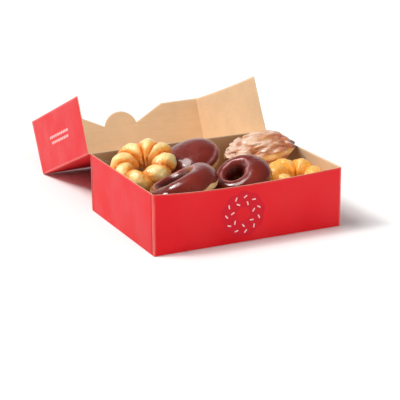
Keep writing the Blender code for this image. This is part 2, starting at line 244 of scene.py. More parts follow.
# ---- Node trees ----
class Tree:
    """Short calls for building one node tree."""

    def __init__(self, tree):
        self.tree = tree

    def node(self, kind, inputs=None, **settings):
        """Add a node, set its properties, then fill or link its inputs."""
        made = self.tree.nodes.new(kind)
        for key, value in settings.items():
            setattr(made, key, value)
        for key, value in (inputs or {}).items():
            self.feed(made.inputs[key], value)
        return made

    def feed(self, socket, value):
        """Link a socket to this one, or set its value."""
        if isinstance(value, bpy.types.NodeSocket):
            self.tree.links.new(value, socket)
        else:
            socket.default_value = value

    def math(self, operation, *values):
        """One Math node."""
        return self.node("ShaderNodeMath", dict(enumerate(values)), operation=operation).outputs[0]

    def swing(self, factor, amount):
        """A factor from 0 to 1 made to swing about zero, over the amount in all."""
        return self.math('MULTIPLY', self.math('SUBTRACT', factor, 0.5), amount)

    def split(self, vector):
        """The vector's x, y and z."""
        return self.node("ShaderNodeSeparateXYZ", {0: vector}).outputs

    def noise(self, vector, scale, detail=3.0, roughness=0.5):
        """Noise factor from 0 to 1."""
        return self.node("ShaderNodeTexNoise",
                         {"Vector": vector, "Scale": scale, "Detail": detail,
                          "Roughness": roughness}).outputs[0]

    def fade(self, value, low, high, start=0.0, end=1.0):
        """Smooth step from start to end as the value goes from low to high."""
        return self.node("ShaderNodeMapRange",
                         {0: value, 1: low, 2: high, 3: start, 4: end},
                         interpolation_type='SMOOTHSTEP').outputs[0]

    def mix(self, factor, first, second):
        """Mix two colours."""
        node = self.node("ShaderNodeMix", {0: factor}, data_type='RGBA')
        for socket, value in ((node.inputs[6], first), (node.inputs[7], second)):
            self.feed(socket, value if isinstance(value, bpy.types.NodeSocket) else (*value, 1))
        return node.outputs[2]

    def bump(self, height, distance, strength, normal=None):
        """Bump a normal by a height from 0 to 1."""
        inputs = {"Height": height, "Distance": distance, "Strength": strength}
        if normal is not None:
            inputs["Normal"] = normal
        return self.node("ShaderNodeBump", inputs).outputs[0]

    def attribute(self, name):
        """A number kept on the mesh's points."""
        return self.node("ShaderNodeAttribute", attribute_name=name).outputs["Fac"]

    def place(self):
        """Object coordinates in metres."""
        return self.node("ShaderNodeTexCoord").outputs["Object"]

    def stretched(self, vector, scale):
        """Coordinates scaled by a different amount each way."""
        return self.node("ShaderNodeMapping", {"Vector": vector, "Scale": scale}).outputs[0]


def new_material(name, **fixed):
    """A Principled material with its uniform values set on the shader's own sockets."""
    material = bpy.data.materials.new(name)
    material.use_nodes = True
    tree = Tree(material.node_tree)
    shader = material.node_tree.nodes["Principled BSDF"]
    for key, value in fixed.items():
        shader.inputs[key.replace("_", " ").title().replace("Ior", "IOR")].default_value = value
    return material, tree, shader


def tinted(colour, amount):
    """The colour made lighter or darker by a factor."""
    return tuple(min(1.0, channel * amount) for channel in colour)


# ---- Materials of the box ----
def seal_mask(tree, across, up, radius):
    """Flat doughnut shape for the print: (icing, sprinkles) as two masks from 0 to 1."""
    angle = tree.math('ARCTAN2', up, across)
    distance = tree.math('SQRT', tree.math('ADD', tree.math('MULTIPLY', across, across),
                                           tree.math('MULTIPLY', up, up)))
    scallop = tree.math('MULTIPLY', tree.math('SINE', tree.math('MULTIPLY', angle, 9)), 0.035)
    edge = tree.math('MULTIPLY', tree.math('ADD', scallop, 1), radius)
    gap = tree.math('SUBTRACT', distance, edge)
    outside = tree.fade(gap, -0.0002, 0.0002, 1.0, 0.0)
    hole = tree.fade(distance, radius * 0.29, radius * 0.31)
    icing = tree.math('MULTIPLY', outside, hole)
    sprinkles = None
    for ring, count, shift, slant in SPRINKLE_RINGS:
        turn = tree.math('MULTIPLY', tree.math('ADD', angle, shift), count / (2 * math.pi))
        sector = tree.math('SUBTRACT', tree.math('FRACT', turn), 0.5)
        along = tree.math('MULTIPLY', sector, 2 * math.pi * ring * radius / count)
        out = tree.math('SUBTRACT', distance, ring * radius)
        c, s = math.cos(slant), math.sin(slant)
        u = tree.math('ADD', tree.math('MULTIPLY', along, c), tree.math('MULTIPLY', out, s))
        v = tree.math('SUBTRACT', tree.math('MULTIPLY', out, c), tree.math('MULTIPLY', along, s))
        past = tree.math('MAXIMUM', tree.math('SUBTRACT', tree.math('ABSOLUTE', u),
                                              radius * 0.062), 0)
        away = tree.math('SQRT', tree.math('ADD', tree.math('MULTIPLY', past, past),
                                           tree.math('MULTIPLY', v, v)))
        dash = tree.fade(away, radius * 0.024, radius * 0.030, 1.0, 0.0)
        sprinkles = dash if sprinkles is None else tree.math('MAXIMUM', sprinkles, dash)
    return icing, sprinkles


def red_board(settings, name, prints):
    """Printed outside of the board; prints(tree, place) gives (dark mask, white mask)."""
    material, tree, shader = new_material(name, specular_ior_level=0.18)
    place = tree.place()
    red = tuple(settings.print_colour)
    # Painted shade: the red grows darker and deeper the nearer it is to the floor.
    low = tree.fade(tree.split(place)[2], 0.0, 0.060, 1.0, 0.0)
    colour = tree.mix(low, red, (red[0] * 0.86, red[1] * 0.20, red[2] * 0.40))
    sweep = tree.noise(tree.stretched(place, (1, 1, 0.5)), 11, 2, 0.4)
    colour = tree.mix(tree.fade(sweep, 0.34, 0.70, 0, 0.65), colour,
                      (red[0] * 1.05, red[1] + 0.018, red[2] + 0.016))
    patches = tree.noise(place, 28, 3, 0.5)
    colour = tree.mix(tree.fade(patches, 0.35, 0.72, 0, 0.30), colour, tinted(red, 1.08))
    grain = tree.noise(place, 1500, 2, 0.6)
    colour = tree.mix(tree.fade(grain, 0.3, 0.75, 0, 0.16), colour,
                      (red[0] * 0.90, red[1] * 0.4, red[2] * 0.4))
    dark, white = prints(tree, place)
    colour = tree.mix(tree.math('MULTIPLY', dark, 0.70), colour, SEAL_RED)
    colour = tree.mix(tree.math('MULTIPLY', white, 0.80), colour, SPRINKLE_WHITE)
    # Painted shade darkens the groove pressed beside each corner.
    colour = tree.mix(tree.math('MULTIPLY', tree.attribute("groove_shade"), 0.90), colour, GROOVE_SHADE_BROWN)
    # Edges and folds turn paler pink: partly rubbed ink, partly a painted highlight on the rounded
    # folds.
    rub = tree.noise(tree.stretched(place, (1, 1, 0.12)), 500, 3, 0.6)
    worn_and_lit = tree.math('MULTIPLY', tree.attribute("wear_and_highlight"), tree.fade(rub, 0.25, 0.60, 0.35, 1.0))
    colour = tree.mix(tree.math('MULTIPLY', worn_and_lit, 0.48), colour, WORN_HIGHLIGHT_PINK)
    tree.feed(shader.inputs["Base Color"], colour)
    tree.feed(shader.inputs["Roughness"], tree.fade(patches, 0.3, 0.7, 0.36, 0.50))
    fibres = tree.noise(tree.stretched(place, (1, 3, 3)), 420, 3, 0.55)
    normal = tree.bump(fibres, 0.00010, 0.5)
    normal = tree.bump(tree.noise(place, 60, 2, 0.5), 0.0008, 0.22, normal)
    tree.feed(shader.inputs["Normal"], normal)
    return material


def tray_prints(tree, place):
    """The seal on the middle of the front wall."""
    x, y, z = tree.split(place)
    on_front = tree.fade(y, -HALF_DEPTH + 0.0012, -HALF_DEPTH + 0.0004)
    across = tree.math('ADD', x, WALL_SEAL_LEFT)
    up = tree.math('SUBTRACT', z, WALL_HEIGHT * WALL_SEAL_HEIGHT)
    icing, sprinkles = seal_mask(tree, across, up, WALL_SEAL_RADIUS)
    dark = tree.math('MULTIPLY', icing, on_front)
    return dark, tree.math('MULTIPLY', sprinkles, dark)


def lid_prints(tree, place):
    """Two rows of dashes on the left skirt and a large seal on top of the panel."""
    flat = tree.node("ShaderNodeVectorRotate",
                     {"Vector": place, "Center": tuple(HINGE), "Angle": OPEN_SLOPE},
                     rotation_type='X_AXIS').outputs[0]
    x, y, z = tree.split(flat)
    along = tree.math('SUBTRACT', y, HINGE.y)
    up = tree.math('SUBTRACT', z, HINGE.z)
    on_panel = tree.fade(up, 0.012, 0.008)
    icing, sprinkles = seal_mask(tree, x, tree.math('SUBTRACT', along, LID_DEPTH / 2),
                                 LID_SEAL_RADIUS)
    dark = tree.math('MULTIPLY', icing, on_panel)
    white = tree.math('MULTIPLY', sprinkles, dark)
    on_side = tree.fade(x, -LID_HALF_WIDTH + 0.0006, -LID_HALF_WIDTH + 0.0002)
    for row, start, end in DASH_ROWS:
        level = tree.math('SUBTRACT', up, row)
        wave = tree.math('SINE', tree.math('MULTIPLY', along, DASH_WAVE[0]))
        wave = tree.math('MULTIPLY', wave, DASH_WAVE[1])
        line = tree.fade(tree.math('ABSOLUTE', tree.math('SUBTRACT', level, wave)),
                         0.0011, 0.0019, 0.72, 0.0)
        inside = tree.math('MULTIPLY', tree.fade(along, start, start + 0.0005),
                           tree.fade(along, end - 0.0005, end, 1.0, 0.0))
        breaks = tree.fade(tree.math('FRACT', tree.math('MULTIPLY', along, DASHES_PER_METRE)),
                           0.86, 0.92, 1.0, 0.35)
        mark = tree.math('MULTIPLY', tree.math('MULTIPLY', line, inside), breaks)
        white = tree.math('MAXIMUM', white, tree.math('MULTIPLY', mark, on_side))
    return dark, white


def kraft_board(settings, name, streaks, back_shade):
    """Bare inside of the board: streaks stretches its fibres; the last argument sets how far
    painted shade darkens the back wall.
    """
    material, tree, shader = new_material(name, specular_ior_level=0.3)
    place = tree.place()
    kraft = tuple(settings.kraft_colour)
    clouds = tree.noise(place, 22, 3, 0.55)
    colour = tree.mix(tree.fade(clouds, 0.3, 0.7), tinted(kraft, 0.95), tinted(kraft, 1.04))
    lines = tree.noise(tree.stretched(place, streaks), 260, 4, 0.6)
    colour = tree.mix(tree.fade(lines, 0.42, 0.80, 0, 0.26), colour,
                      (kraft[0] * 0.80, kraft[1] * 0.74, kraft[2] * 0.66))
    # Painted shade darkens the inside of the back wall.
    at_back = tree.fade(tree.split(place)[1], HALF_DEPTH - 0.0045, HALF_DEPTH - 0.0015, 0, back_shade)
    colour = tree.mix(at_back, colour, BACK_WALL_SHADE)
    flecks = tree.noise(tree.stretched(place, streaks), 1300, 2, 0.5)
    colour = tree.mix(tree.fade(flecks, 0.66, 0.76, 0, 0.40), colour, tinted(kraft, 0.60))
    pale = tree.noise(tree.stretched(place, streaks), 900, 2, 0.5)
    colour = tree.mix(tree.fade(pale, 0.64, 0.76, 0, 0.40), colour, PALE_FIBRE)
    tree.feed(shader.inputs["Base Color"], colour)
    tree.feed(shader.inputs["Roughness"], tree.fade(lines, 0.3, 0.7, 0.68, 0.84))
    normal = tree.bump(lines, 0.00016, 0.6)
    tree.feed(shader.inputs["Normal"], tree.bump(tree.noise(place, 70, 2), 0.0008, 0.2, normal))
    return material


def cut_edge(settings):
    """The board's cut edge: pale fibres in thin layers."""
    material, tree, shader = new_material("board_cut_edge", specular_ior_level=0.2)
    place = tree.place()
    fibres = tree.noise(place, 1800, 3, 0.6)
    kraft = tuple(settings.kraft_colour)
    tree.feed(shader.inputs["Base Color"],
              tree.mix(tree.fade(fibres, 0.35, 0.65), tinted(kraft, 0.72), tinted(kraft, 1.12)))
    tree.feed(shader.inputs["Roughness"], tree.fade(fibres, 0.3, 0.7, 0.75, 0.92))
    tree.feed(shader.inputs["Normal"], tree.bump(fibres, 0.0002, 0.7))
    return material


# ---- Materials of the food ----
def chocolate(settings):
    """Glossy set chocolate with soft dulled patches, a painted pink highlight along the lip and
    painted shade in each ring's hole.
    """
    material, tree, shader = new_material("poured_chocolate", coat_weight=0.50,
                                          coat_roughness=0.10, specular_ior_level=0.40)
    place = tree.place()
    base = tuple(settings.colour)
    patches = tree.noise(place, 38, 3, 0.5)
    colour = tree.mix(tree.fade(patches, 0.25, 0.78), tinted(base, 0.84),
                      (base[0] * 1.25, base[1] * 1.3, base[2] * 1.3))
    # Painted highlight: a pink line along the coat's lip.
    lip_and_highlight = tree.math('MULTIPLY', tree.attribute("lip_and_highlight"),
                    tree.fade(tree.noise(place, 110, 2, 0.5), 0.30, 0.62, 0.35, 0.90))
    colour = tree.mix(lip_and_highlight, colour, LIP_HIGHLIGHT_PINK)
    # Painted shade darkens the chocolate inside each ring's hole.
    colour = tree.mix(tree.attribute("hollow_shade"), colour, tinted(base, 0.36))
    specks = tree.noise(place, 1300, 2, 0.5)
    colour = tree.mix(tree.fade(specks, 0.66, 0.76, 0, 0.5), colour, tinted(base, 0.5))
    tree.feed(shader.inputs["Base Color"], colour)
    tree.feed(shader.inputs["Roughness"], tree.fade(patches, 0.3, 0.72, 0.20, 0.36))
    normal = tree.bump(tree.noise(place, 120, 3, 0.5), 0.0009, 0.22)
    normal = tree.bump(tree.noise(place, 900, 2, 0.5), 0.00012, 0.35, normal)
    tree.feed(shader.inputs["Normal"], normal)
    return material


def ring_dough(settings):
    """Fried crust with the pale band kept in the mesh's band attribute."""
    material, tree, shader = new_material("ring_dough", specular_ior_level=0.4,
                                          coat_weight=0.10, coat_roughness=0.3)
    place = tree.place()
    crust = tuple(settings.crust_colour)
    patches = tree.noise(place, 90, 4, 0.6)
    colour = tree.mix(tree.fade(patches, 0.32, 0.70), tinted(crust, 0.72), tinted(crust, 1.22))
    ragged = tree.math('ADD', tree.attribute("band"), tree.swing(tree.noise(place, 300, 3), 0.7))
    colour = tree.mix(tree.fade(ragged, 0.25, 0.75), colour, tuple(settings.band_colour))
    blisters = tree.noise(place, 750, 3, 0.6)
    colour = tree.mix(tree.fade(blisters, 0.58, 0.74, 0, 0.55), colour, tinted(crust, 1.5))
    tree.feed(shader.inputs["Base Color"], colour)
    tree.feed(shader.inputs["Roughness"], tree.fade(patches, 0.3, 0.7, 0.45, 0.65))
    normal = tree.bump(blisters, 0.00045, 0.55)
    tree.feed(shader.inputs["Normal"], tree.bump(tree.noise(place, 220, 3), 0.001, 0.35, normal))
    return material


def choux(settings):
    """Puffed pale ridges, painted shade in the valleys and on the side facing the hole, and a thin
    sugar glaze.
    """
    material, tree, shader = new_material("honeyed_choux", specular_ior_level=0.5,
                                          coat_weight=0.35, coat_roughness=0.18)
    place = tree.place()
    ridge = tuple(settings.ridge_colour)
    patches = tree.noise(place, 60, 4, 0.6)
    # Painted shade: from the pale ridges down the slopes to darker, redder valleys.
    level = tree.math('ADD', tree.attribute("crest"), tree.swing(patches, 1.1))
    colour = tree.mix(tree.fade(level, 0.0, 0.38), CHOUX_VALLEY_SHADE, CHOUX_SLOPE)
    colour = tree.mix(tree.fade(level, 0.38, 0.98), colour, ridge)
    browner = tree.fade(tree.noise(place, 42, 2, 0.5), 0.50, 0.66, 0, 0.42)
    colour = tree.mix(browner, colour, CHOUX_PATCH)
    # Painted shade on the side of the tube that faces the hole.
    colour = tree.mix(tree.math('MULTIPLY', tree.attribute("inward_shade"), 0.75), colour, CHOUX_HOLE_SHADE)
    baked = tree.math('MULTIPLY', tree.attribute("baked"),
                      tree.fade(patches, 0.25, 0.75, 1.3, 0.5))
    colour = tree.mix(baked, colour, CHOUX_BAKED)
    spots = tree.noise(place, 420, 4, 0.65)
    colour = tree.mix(tree.fade(spots, 0.55, 0.72, 0, 0.30), colour, CHOUX_SPOT)
    glaze = tree.noise(place, 150, 3, 0.5)
    colour = tree.mix(tree.fade(glaze, 0.54, 0.72, 0, 0.40), colour, CHOUX_GLAZE)
    tree.feed(shader.inputs["Base Color"], colour)
    tree.feed(shader.inputs["Roughness"], tree.fade(glaze, 0.3, 0.7, 0.48, 0.26))
    normal = tree.bump(spots, 0.00055, 0.5)
    tree.feed(shader.inputs["Normal"], tree.bump(tree.noise(place, 150, 3), 0.0012, 0.3, normal))
    return material


def fritter_crust():
    """Tan and red-brown knobbly crust with white glaze lying in pools, and painted shade in its
    creases and towards its right end.
    """
    material, tree, shader = new_material("sugared_crust", specular_ior_level=0.5,
                                          coat_weight=0.40, coat_roughness=0.15)
    place = tree.place()
    patches = tree.noise(place, 60, 4, 0.6)
    colour = tree.mix(tree.fade(patches, 0.35, 0.68), FRITTER_BROWN, FRITTER_TAN)
    # Painted shade: redder towards the right and darker in the creases; the pale band round the
    # sides is the crust's own colour.
    for label, low, high, start, end, paint in (
            ("right_shade", 0.0, 1.0, 0.0, 0.9, FRITTER_SHADE_RED),
            ("knob", 0.0, 0.55, 0.55, 0.0, FRITTER_CREASE_SHADE),
            ("side", 0.30, 0.85, 0, 0.85, FRITTER_SIDE)):
        colour = tree.mix(tree.fade(tree.attribute(label), low, high, start, end), colour, paint)
    ragged = tree.math('ADD', tree.attribute("glaze"),
                       tree.swing(tree.noise(place, 150, 4, 0.6), 0.7))
    colour = tree.mix(tree.fade(ragged, 0.30, 0.85, 0, 0.80), colour, FRITTER_GLAZE)
    # Painted shade: the far right end darkens almost to black.
    end_shade = tree.math('MULTIPLY', tree.attribute("end_shade"), 0.85)
    colour = tree.mix(end_shade, colour, FRITTER_END_SHADE)
    tree.feed(shader.inputs["Base Color"], colour)
    tree.feed(shader.inputs["Roughness"], tree.fade(ragged, 0.3, 0.8, 0.50, 0.22))
    normal = tree.bump(tree.noise(place, 520, 4, 0.6), 0.0006, 0.5)
    tree.feed(shader.inputs["Normal"], tree.bump(tree.noise(place, 170, 3), 0.001, 0.3, normal))
    return material


def crumb_material(name, colour, pale):
    """Small broken bits, each a little different by where it lies."""
    material, tree, shader = new_material(name, specular_ior_level=0.3)
    place = tree.place()
    patches = tree.noise(place, 380, 2, 0.5)
    tree.feed(shader.inputs["Base Color"], tree.mix(tree.fade(patches, 0.35, 0.65), colour, pale))
    tree.feed(shader.inputs["Roughness"], tree.fade(patches, 0.3, 0.7, 0.55, 0.8))
    tree.feed(shader.inputs["Normal"], tree.bump(tree.noise(place, 2600, 2), 0.0003, 0.5))
    return material


# ---- Meshes ----
def smooth_object(name, mesh, materials):
    """Put a mesh in the scene, smooth, with its materials."""
    for material in materials:
        mesh.materials.append(material)
    mesh.shade_smooth()
    obj = bpy.data.objects.new(name, mesh)
    bpy.context.scene.collection.objects.link(obj)
    return obj


def new_object(name, vertices, faces, materials, attributes=None):
    """A mesh object from arrays, with one number per point in each named attribute."""
    mesh = bpy.data.meshes.new(name)
    mesh.from_pydata([tuple(map(float, co)) for co in vertices], [], faces)
    for key, values in (attributes or {}).items():
        mesh.attributes.new(key, 'FLOAT', 'POINT').data.foreach_set(
            "value", np.asarray(values, np.float32))
    return smooth_object(name, mesh, materials)


def from_bmesh(name, bm, materials):
    """A mesh object from a bmesh, which is freed."""
    mesh = bpy.data.meshes.new(name)
    bm.to_mesh(mesh)
    bm.free()
    return smooth_object(name, mesh, materials)


def grid_faces(rows, columns, wrap_rows=False, wrap_columns=False):
    """Quads over a grid of points numbered row by row."""
    faces = []
    for row in range(rows if wrap_rows else rows - 1):
        below = (row + 1) % rows
        for column in range(columns if wrap_columns else columns - 1):
            beside = (column + 1) % columns
            faces.append((row * columns + column, row * columns + beside,
                          below * columns + beside, below * columns + column))
    return faces


def close_up(obj):
    """Merge doubles and turn every face outwards."""
    bm = bmesh.new()
    bm.from_mesh(obj.data)
    bmesh.ops.remove_doubles(bm, verts=bm.verts, dist=1e-6)
    bmesh.ops.dissolve_degenerate(bm, edges=bm.edges, dist=1e-7)
    bmesh.ops.recalc_face_normals(bm, faces=bm.faces)
    bm.to_mesh(obj.data)
    bm.free()
    return obj


def thicken(obj, thickness, offset):
    """Give a sheet its board: the second material inside and the third on the cut edge."""
    solid = obj.modifiers.new("board", 'SOLIDIFY')
    solid.thickness = thickness
    solid.offset = offset
    solid.use_even_offset = True
    solid.material_offset = 1
    solid.material_offset_rim = 2
    return obj


def applied(obj):
    """Replace the object's mesh by what its modifiers make of it."""
    depsgraph = bpy.context.evaluated_depsgraph_get()
    mesh = bpy.data.meshes.new_from_object(obj.evaluated_get(depsgraph))
    obj.modifiers.clear()
    obj.data = mesh
    mesh.name = obj.name
    return obj


def ripple(point, scale, seed=0.0):
    """Smooth noise from -1 to 1 at a point in metres."""
    return noise.noise(Vector(point) * scale + Vector((seed, 2.3 * seed, -1.7 * seed)))


def seat(points, tilt, low, high):
    """Turn points by a tilt in degrees, then centre them in a box."""
    turn = np.array(Euler([math.radians(angle) for angle in tilt]).to_matrix())
    points = np.asarray(points) @ turn.T
    middle = (points.min(0) + points.max(0)) / 2
    return points + (np.array(low) + np.array(high)) / 2 - middle


def shared_box(*nodes):
    """Box round several nodes."""
    boxes = [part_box(node) for node in nodes]
    low = [min(box[0][axis] for box in boxes) for axis in range(3)]
    high = [max(box[1][axis] for box in boxes) for axis in range(3)]
    return low, high


def smooth_step(value, low, high):
    """Smooth step of an array from 0 at low to 1 at high."""
    share = np.clip((np.asarray(value, float) - low) / (high - low), 0, 1)
    return share * share * (3 - 2 * share)


# ---- The tray ----
def rim_share(x):
    """Share of the front rim's dip and bow at x: none at the corners, most left of the middle."""
    along = min(1, max(0, x / (2 * HALF_WIDTH) + 0.5))
    return math.sin(math.pi * along ** 0.8)


def wall_loop(radius):
    """Points once round the tray: (x, y, outward x, outward y, distance from a corner)."""
    loop = []
    corner, along = 4, 78           # steps round a corner and along a wall
    near = [0.0007, 0.0014, 0.0020, 0.0024, 0.0028, 0.0032, 0.0037, 0.0050]
    for index, (cx, cy) in enumerate(((1, -1), (1, 1), (-1, 1), (-1, -1))):
        start = math.radians(-90 + 90 * index)
        mid_x, mid_y = cx * (HALF_WIDTH - radius), cy * (HALF_DEPTH - radius)
        for step in range(corner + 1):
            angle = start + math.pi / 2 * step / corner
            out = (math.cos(angle), math.sin(angle))
            loop.append((mid_x + radius * out[0], mid_y + radius * out[1], *out, 0.0))
        length = 2 * ((HALF_DEPTH if index % 2 == 0 else HALF_WIDTH) - radius)
        out = (round(math.cos(start + math.pi / 2)), round(math.sin(start + math.pi / 2)))
        run = (-out[1], out[0])
        stops = near + [near[-1] + (length - 2 * near[-1]) * step / along
                        for step in range(1, along)]
        stops += [length - stop for stop in reversed(near)]
        x, y = mid_x + radius * out[0], mid_y + radius * out[1]
        for stop in stops:
            loop.append((x + run[0] * stop, y + run[1] * stop, *out, min(stop, length - stop)))
    return loop


def build_tray(board, materials):
    """Walls and floor folded from one sheet; the front rim sags and bows a little."""
    loop = wall_loop(FOLD_RADIUS)
    levels = [0.0, 0.0004, 0.0010] + [0.0010 + 0.0690 * step / 30 for step in range(1, 30)]
    levels.append(WALL_HEIGHT - FOLD_RADIUS)
    points, wear_and_highlight, groove_shade = [], [], []
    for level in reversed(levels):
        for x, y, out_x, out_y, away in loop:
            height = min(FOLD_RADIUS + level, WALL_HEIGHT)
            share = height / WALL_HEIGHT
            bow = board.waviness * ripple((x, y, height), 30, 1.0)
            bow *= min(1, away / 0.012) * min(1, height / 0.012)
            on_side = abs(out_x) > 0.9
            groove = math.exp(-((away - GROOVE_AWAY) / GROOVE_WIDTH) ** 2) if on_side else 0.0
            bow -= GROOVE_DEPTH * groove
            groove_shade.append(groove)
            nx, ny, nz = x + out_x * bow, y + out_y * bow, height
            if out_y > 0.9:
                nz = min(nz, HINGE.z - CREASE_START)
            if out_y < -0.5:
                nz -= RIM_DIP * rim_share(x) * share
                ny -= FRONT_BOW * rim_share(x) * share
            fray = 0.00012 * ripple((x, y, 0), 300, 4.0) if share > 0.999 else 0
            points.append((nx, ny, nz + fray))
            # Paler at the corners and the rim: rubbed ink and a painted highlight.
            wear_and_highlight.append(max(math.exp(-(away / 0.0012) ** 2),
                            math.exp(-((WALL_HEIGHT - height) / 0.0010) ** 2)))
    for step in range(1, 4):        # round the fold at the foot of the walls
        angle = math.pi / 2 * step / 3
        back = FOLD_RADIUS * (1 - math.cos(angle))
        for x, y, out_x, out_y, away in loop:
            points.append((x - out_x * back, y - out_y * back,
                           FOLD_RADIUS * (1 - math.sin(angle))))
            wear_and_highlight.append(0.7)
    for step in range(1, 9):        # across the floor to its middle
        share = 1 - step / 8
        for x, y, out_x, out_y, away in loop:
            points.append(((x - out_x * FOLD_RADIUS) * share, (y - out_y * FOLD_RADIUS) * share, 0))
            wear_and_highlight.append(0.0)
    groove_shade += [0.0] * (len(points) - len(groove_shade))
    count = len(loop)
    tray = new_object("tray_board", points, grid_faces(len(points) // count, count, False, True),
                      materials, {"wear_and_highlight": wear_and_highlight, "groove_shade": groove_shade})
    close_up(tray)
    return applied(thicken(tray, board.thickness, -1))


def build_glue_flaps(board, materials):
    """Four flaps of the side walls, glued flat inside the front and back walls."""
    points, faces = [], []
    columns, rows = 14, 26
    for side, face in ((-1, -1), (-1, 1), (1, -1), (1, 1)):
        faces += [tuple(index + len(points) for index in quad)
                  for quad in grid_faces(rows + 1, columns + 1)]
        for row in range(rows + 1):
            for column in range(columns + 1):
                share = column / columns
                taper = FLAP_TAPER * share
                low, high = 0.0035 + taper, WALL_HEIGHT - 0.0030 - taper
                z = low + (high - low) * (row / rows)
                x = side * (HALF_WIDTH - board.thickness - FLAP_BOARD - FLAP_REACH * share)
                y = face * (HALF_DEPTH - board.thickness - 0.00075)
                if face < 0:
                    z -= RIM_DIP * rim_share(x) * z / WALL_HEIGHT
                    y -= FRONT_BOW * rim_share(x) * z / WALL_HEIGHT
                lift = FLAP_LIFT * share ** 3 * (1 + 0.5 * ripple((x, y, z), 60, 3))
                points.append((x, y - face * lift, z))
    flaps = new_object("tray_glue_flaps", points, faces, materials, {"wear_and_highlight": [0.0] * len(points)})
    return applied(thicken(flaps, FLAP_BOARD, 0))


# ---- The lid ----
def skirt_outline(x):
    """Height of the front skirt's free edge at x: tongue, notches, diagonals and shoulders."""
    x = abs(x)
    if x <= NOTCH_X:
        return TONGUE_CENTRE + math.sqrt(TONGUE_RADIUS ** 2 - x ** 2)
    notch_height = TONGUE_CENTRE + math.sqrt(TONGUE_RADIUS ** 2 - NOTCH_X ** 2)
    if x >= SHOULDER_X:
        return SKIRT_HEIGHT
    share = (x - NOTCH_X) / (SHOULDER_X - NOTCH_X)
    return notch_height + share * (SKIRT_HEIGHT - notch_height)


def lid_point(x, along, height):
    """A point of the lid: along from the hinge line, height above the twisted panel."""
    side = x / LID_HALF_WIDTH
    reach = along / LID_DEPTH
    lean = (SKIRT_FLARE * reach - HINGE_END_LEAN * (1 - reach)) * (height / SKIRT_HEIGHT) * side
    return Vector((x + lean, along, height + LID_TWIST * reach ** 2 * (1 + side) / 2))


def front_point(x, height):
    """A point of the front skirt, whose corners lean out while its middle stands straight."""
    lean = FRONT_LEAN * (height / SKIRT_HEIGHT) * (x / LID_HALF_WIDTH) ** 2
    return lid_point(x, LID_DEPTH + lean, height)


def skirt_columns():
    """Values of x of the lid's lines, closer together on the tongue and beside the folds."""
    arc = [NOTCH_X * math.sin(math.pi / 2 * step / 24) for step in range(25)]
    slope = [NOTCH_X + (SHOULDER_X - NOTCH_X) * step / 18 for step in range(1, 19)]
    edge = LID_HALF_WIDTH - 0.0030
    shoulder = [SHOULDER_X + (edge - SHOULDER_X) * step / 24 for step in range(1, 25)]
    right = arc + slope + shoulder + [LID_HALF_WIDTH]
    return [-x for x in reversed(right)] + right[1:]


def fold_lid_sheet():
    """Panel, two side skirts and the front skirt as one sheet with sharp folds."""
    bm = bmesh.new()
    columns = skirt_columns()
    rows = [HINGE_GAP + (LID_DEPTH - 0.003 - HINGE_GAP) * step / 70 for step in range(71)]
    heights = [0.0025 / SKIRT_HEIGHT] + [0.035 + 0.965 * step / 27 for step in range(1, 28)]

    def strip(first, second):
        for index in range(len(first) - 1):
            bm.faces.new((first[index], first[index + 1], second[index + 1], second[index]))

    panel = [[bm.verts.new(lid_point(x, along, 0)) for x in columns] for along in rows]
    panel.append([bm.verts.new(front_point(x, 0)) for x in columns])
    for near, far in zip(panel, panel[1:]):
        strip(near, far)
    front = [panel[-1]]
    for share in heights:
        front.append([bm.verts.new(front_point(x, skirt_outline(x) * share)) for x in columns])
        strip(front[-2], front[-1])
    for side in (0, -1):
        x = columns[side]
        below = [row[side] for row in panel]
        for index, share in enumerate(heights):
            slant = HINGE_EDGE_SLANT * share
            above = [bm.verts.new(lid_point(x, along + slant * (1 - along / LID_DEPTH),
                                            SKIRT_HEIGHT * share)) for along in rows]
            above.append(front[index + 1][side])
            strip(below, above)
            below = above
    bmesh.ops.recalc_face_normals(bm, faces=bm.faces)
    return bm


def build_lid(board, materials):
    """The lid as a fine sheet with rounded folds, lying open behind the tray."""
    bm = fold_lid_sheet()
    worn_and_lit = bm.verts.layers.float.new("wear_and_highlight")
    bm.normal_update()
    folds = [edge for edge in bm.edges
             if len(edge.link_faces) == 2 and edge.calc_face_angle() > math.radians(30)]
    made = bmesh.ops.bevel(bm, geom=folds, offset=FOLD_RADIUS, segments=4, profile=0.5,
                           affect='EDGES')
    # Folds and cut edges: rubbed ink and a painted highlight.
    for vert in made["verts"]:
        vert[worn_and_lit] = 1.0
    for edge in bm.edges:
        if edge.is_boundary:
            for vert in edge.verts:
                vert[worn_and_lit] = 0.8
    open_turn = Matrix.Translation(HINGE) @ Matrix.Rotation(-OPEN_SLOPE, 4, 'X')
    bm.normal_update()
    for vert in bm.verts:
        calm = min(1, max(0, vert.co.y - HINGE_GAP) / 0.03)
        vert.co += vert.normal * board.waviness * ripple(vert.co, 26, 6.0) * calm
    bmesh.ops.transform(bm, matrix=open_turn, verts=bm.verts)
    if sum(face.normal.z * face.calc_area() for face in bm.faces) > 0:
        bmesh.ops.reverse_faces(bm, faces=bm.faces)
    return applied(thicken(from_bmesh("lid_board", bm, materials), board.thickness, 0))


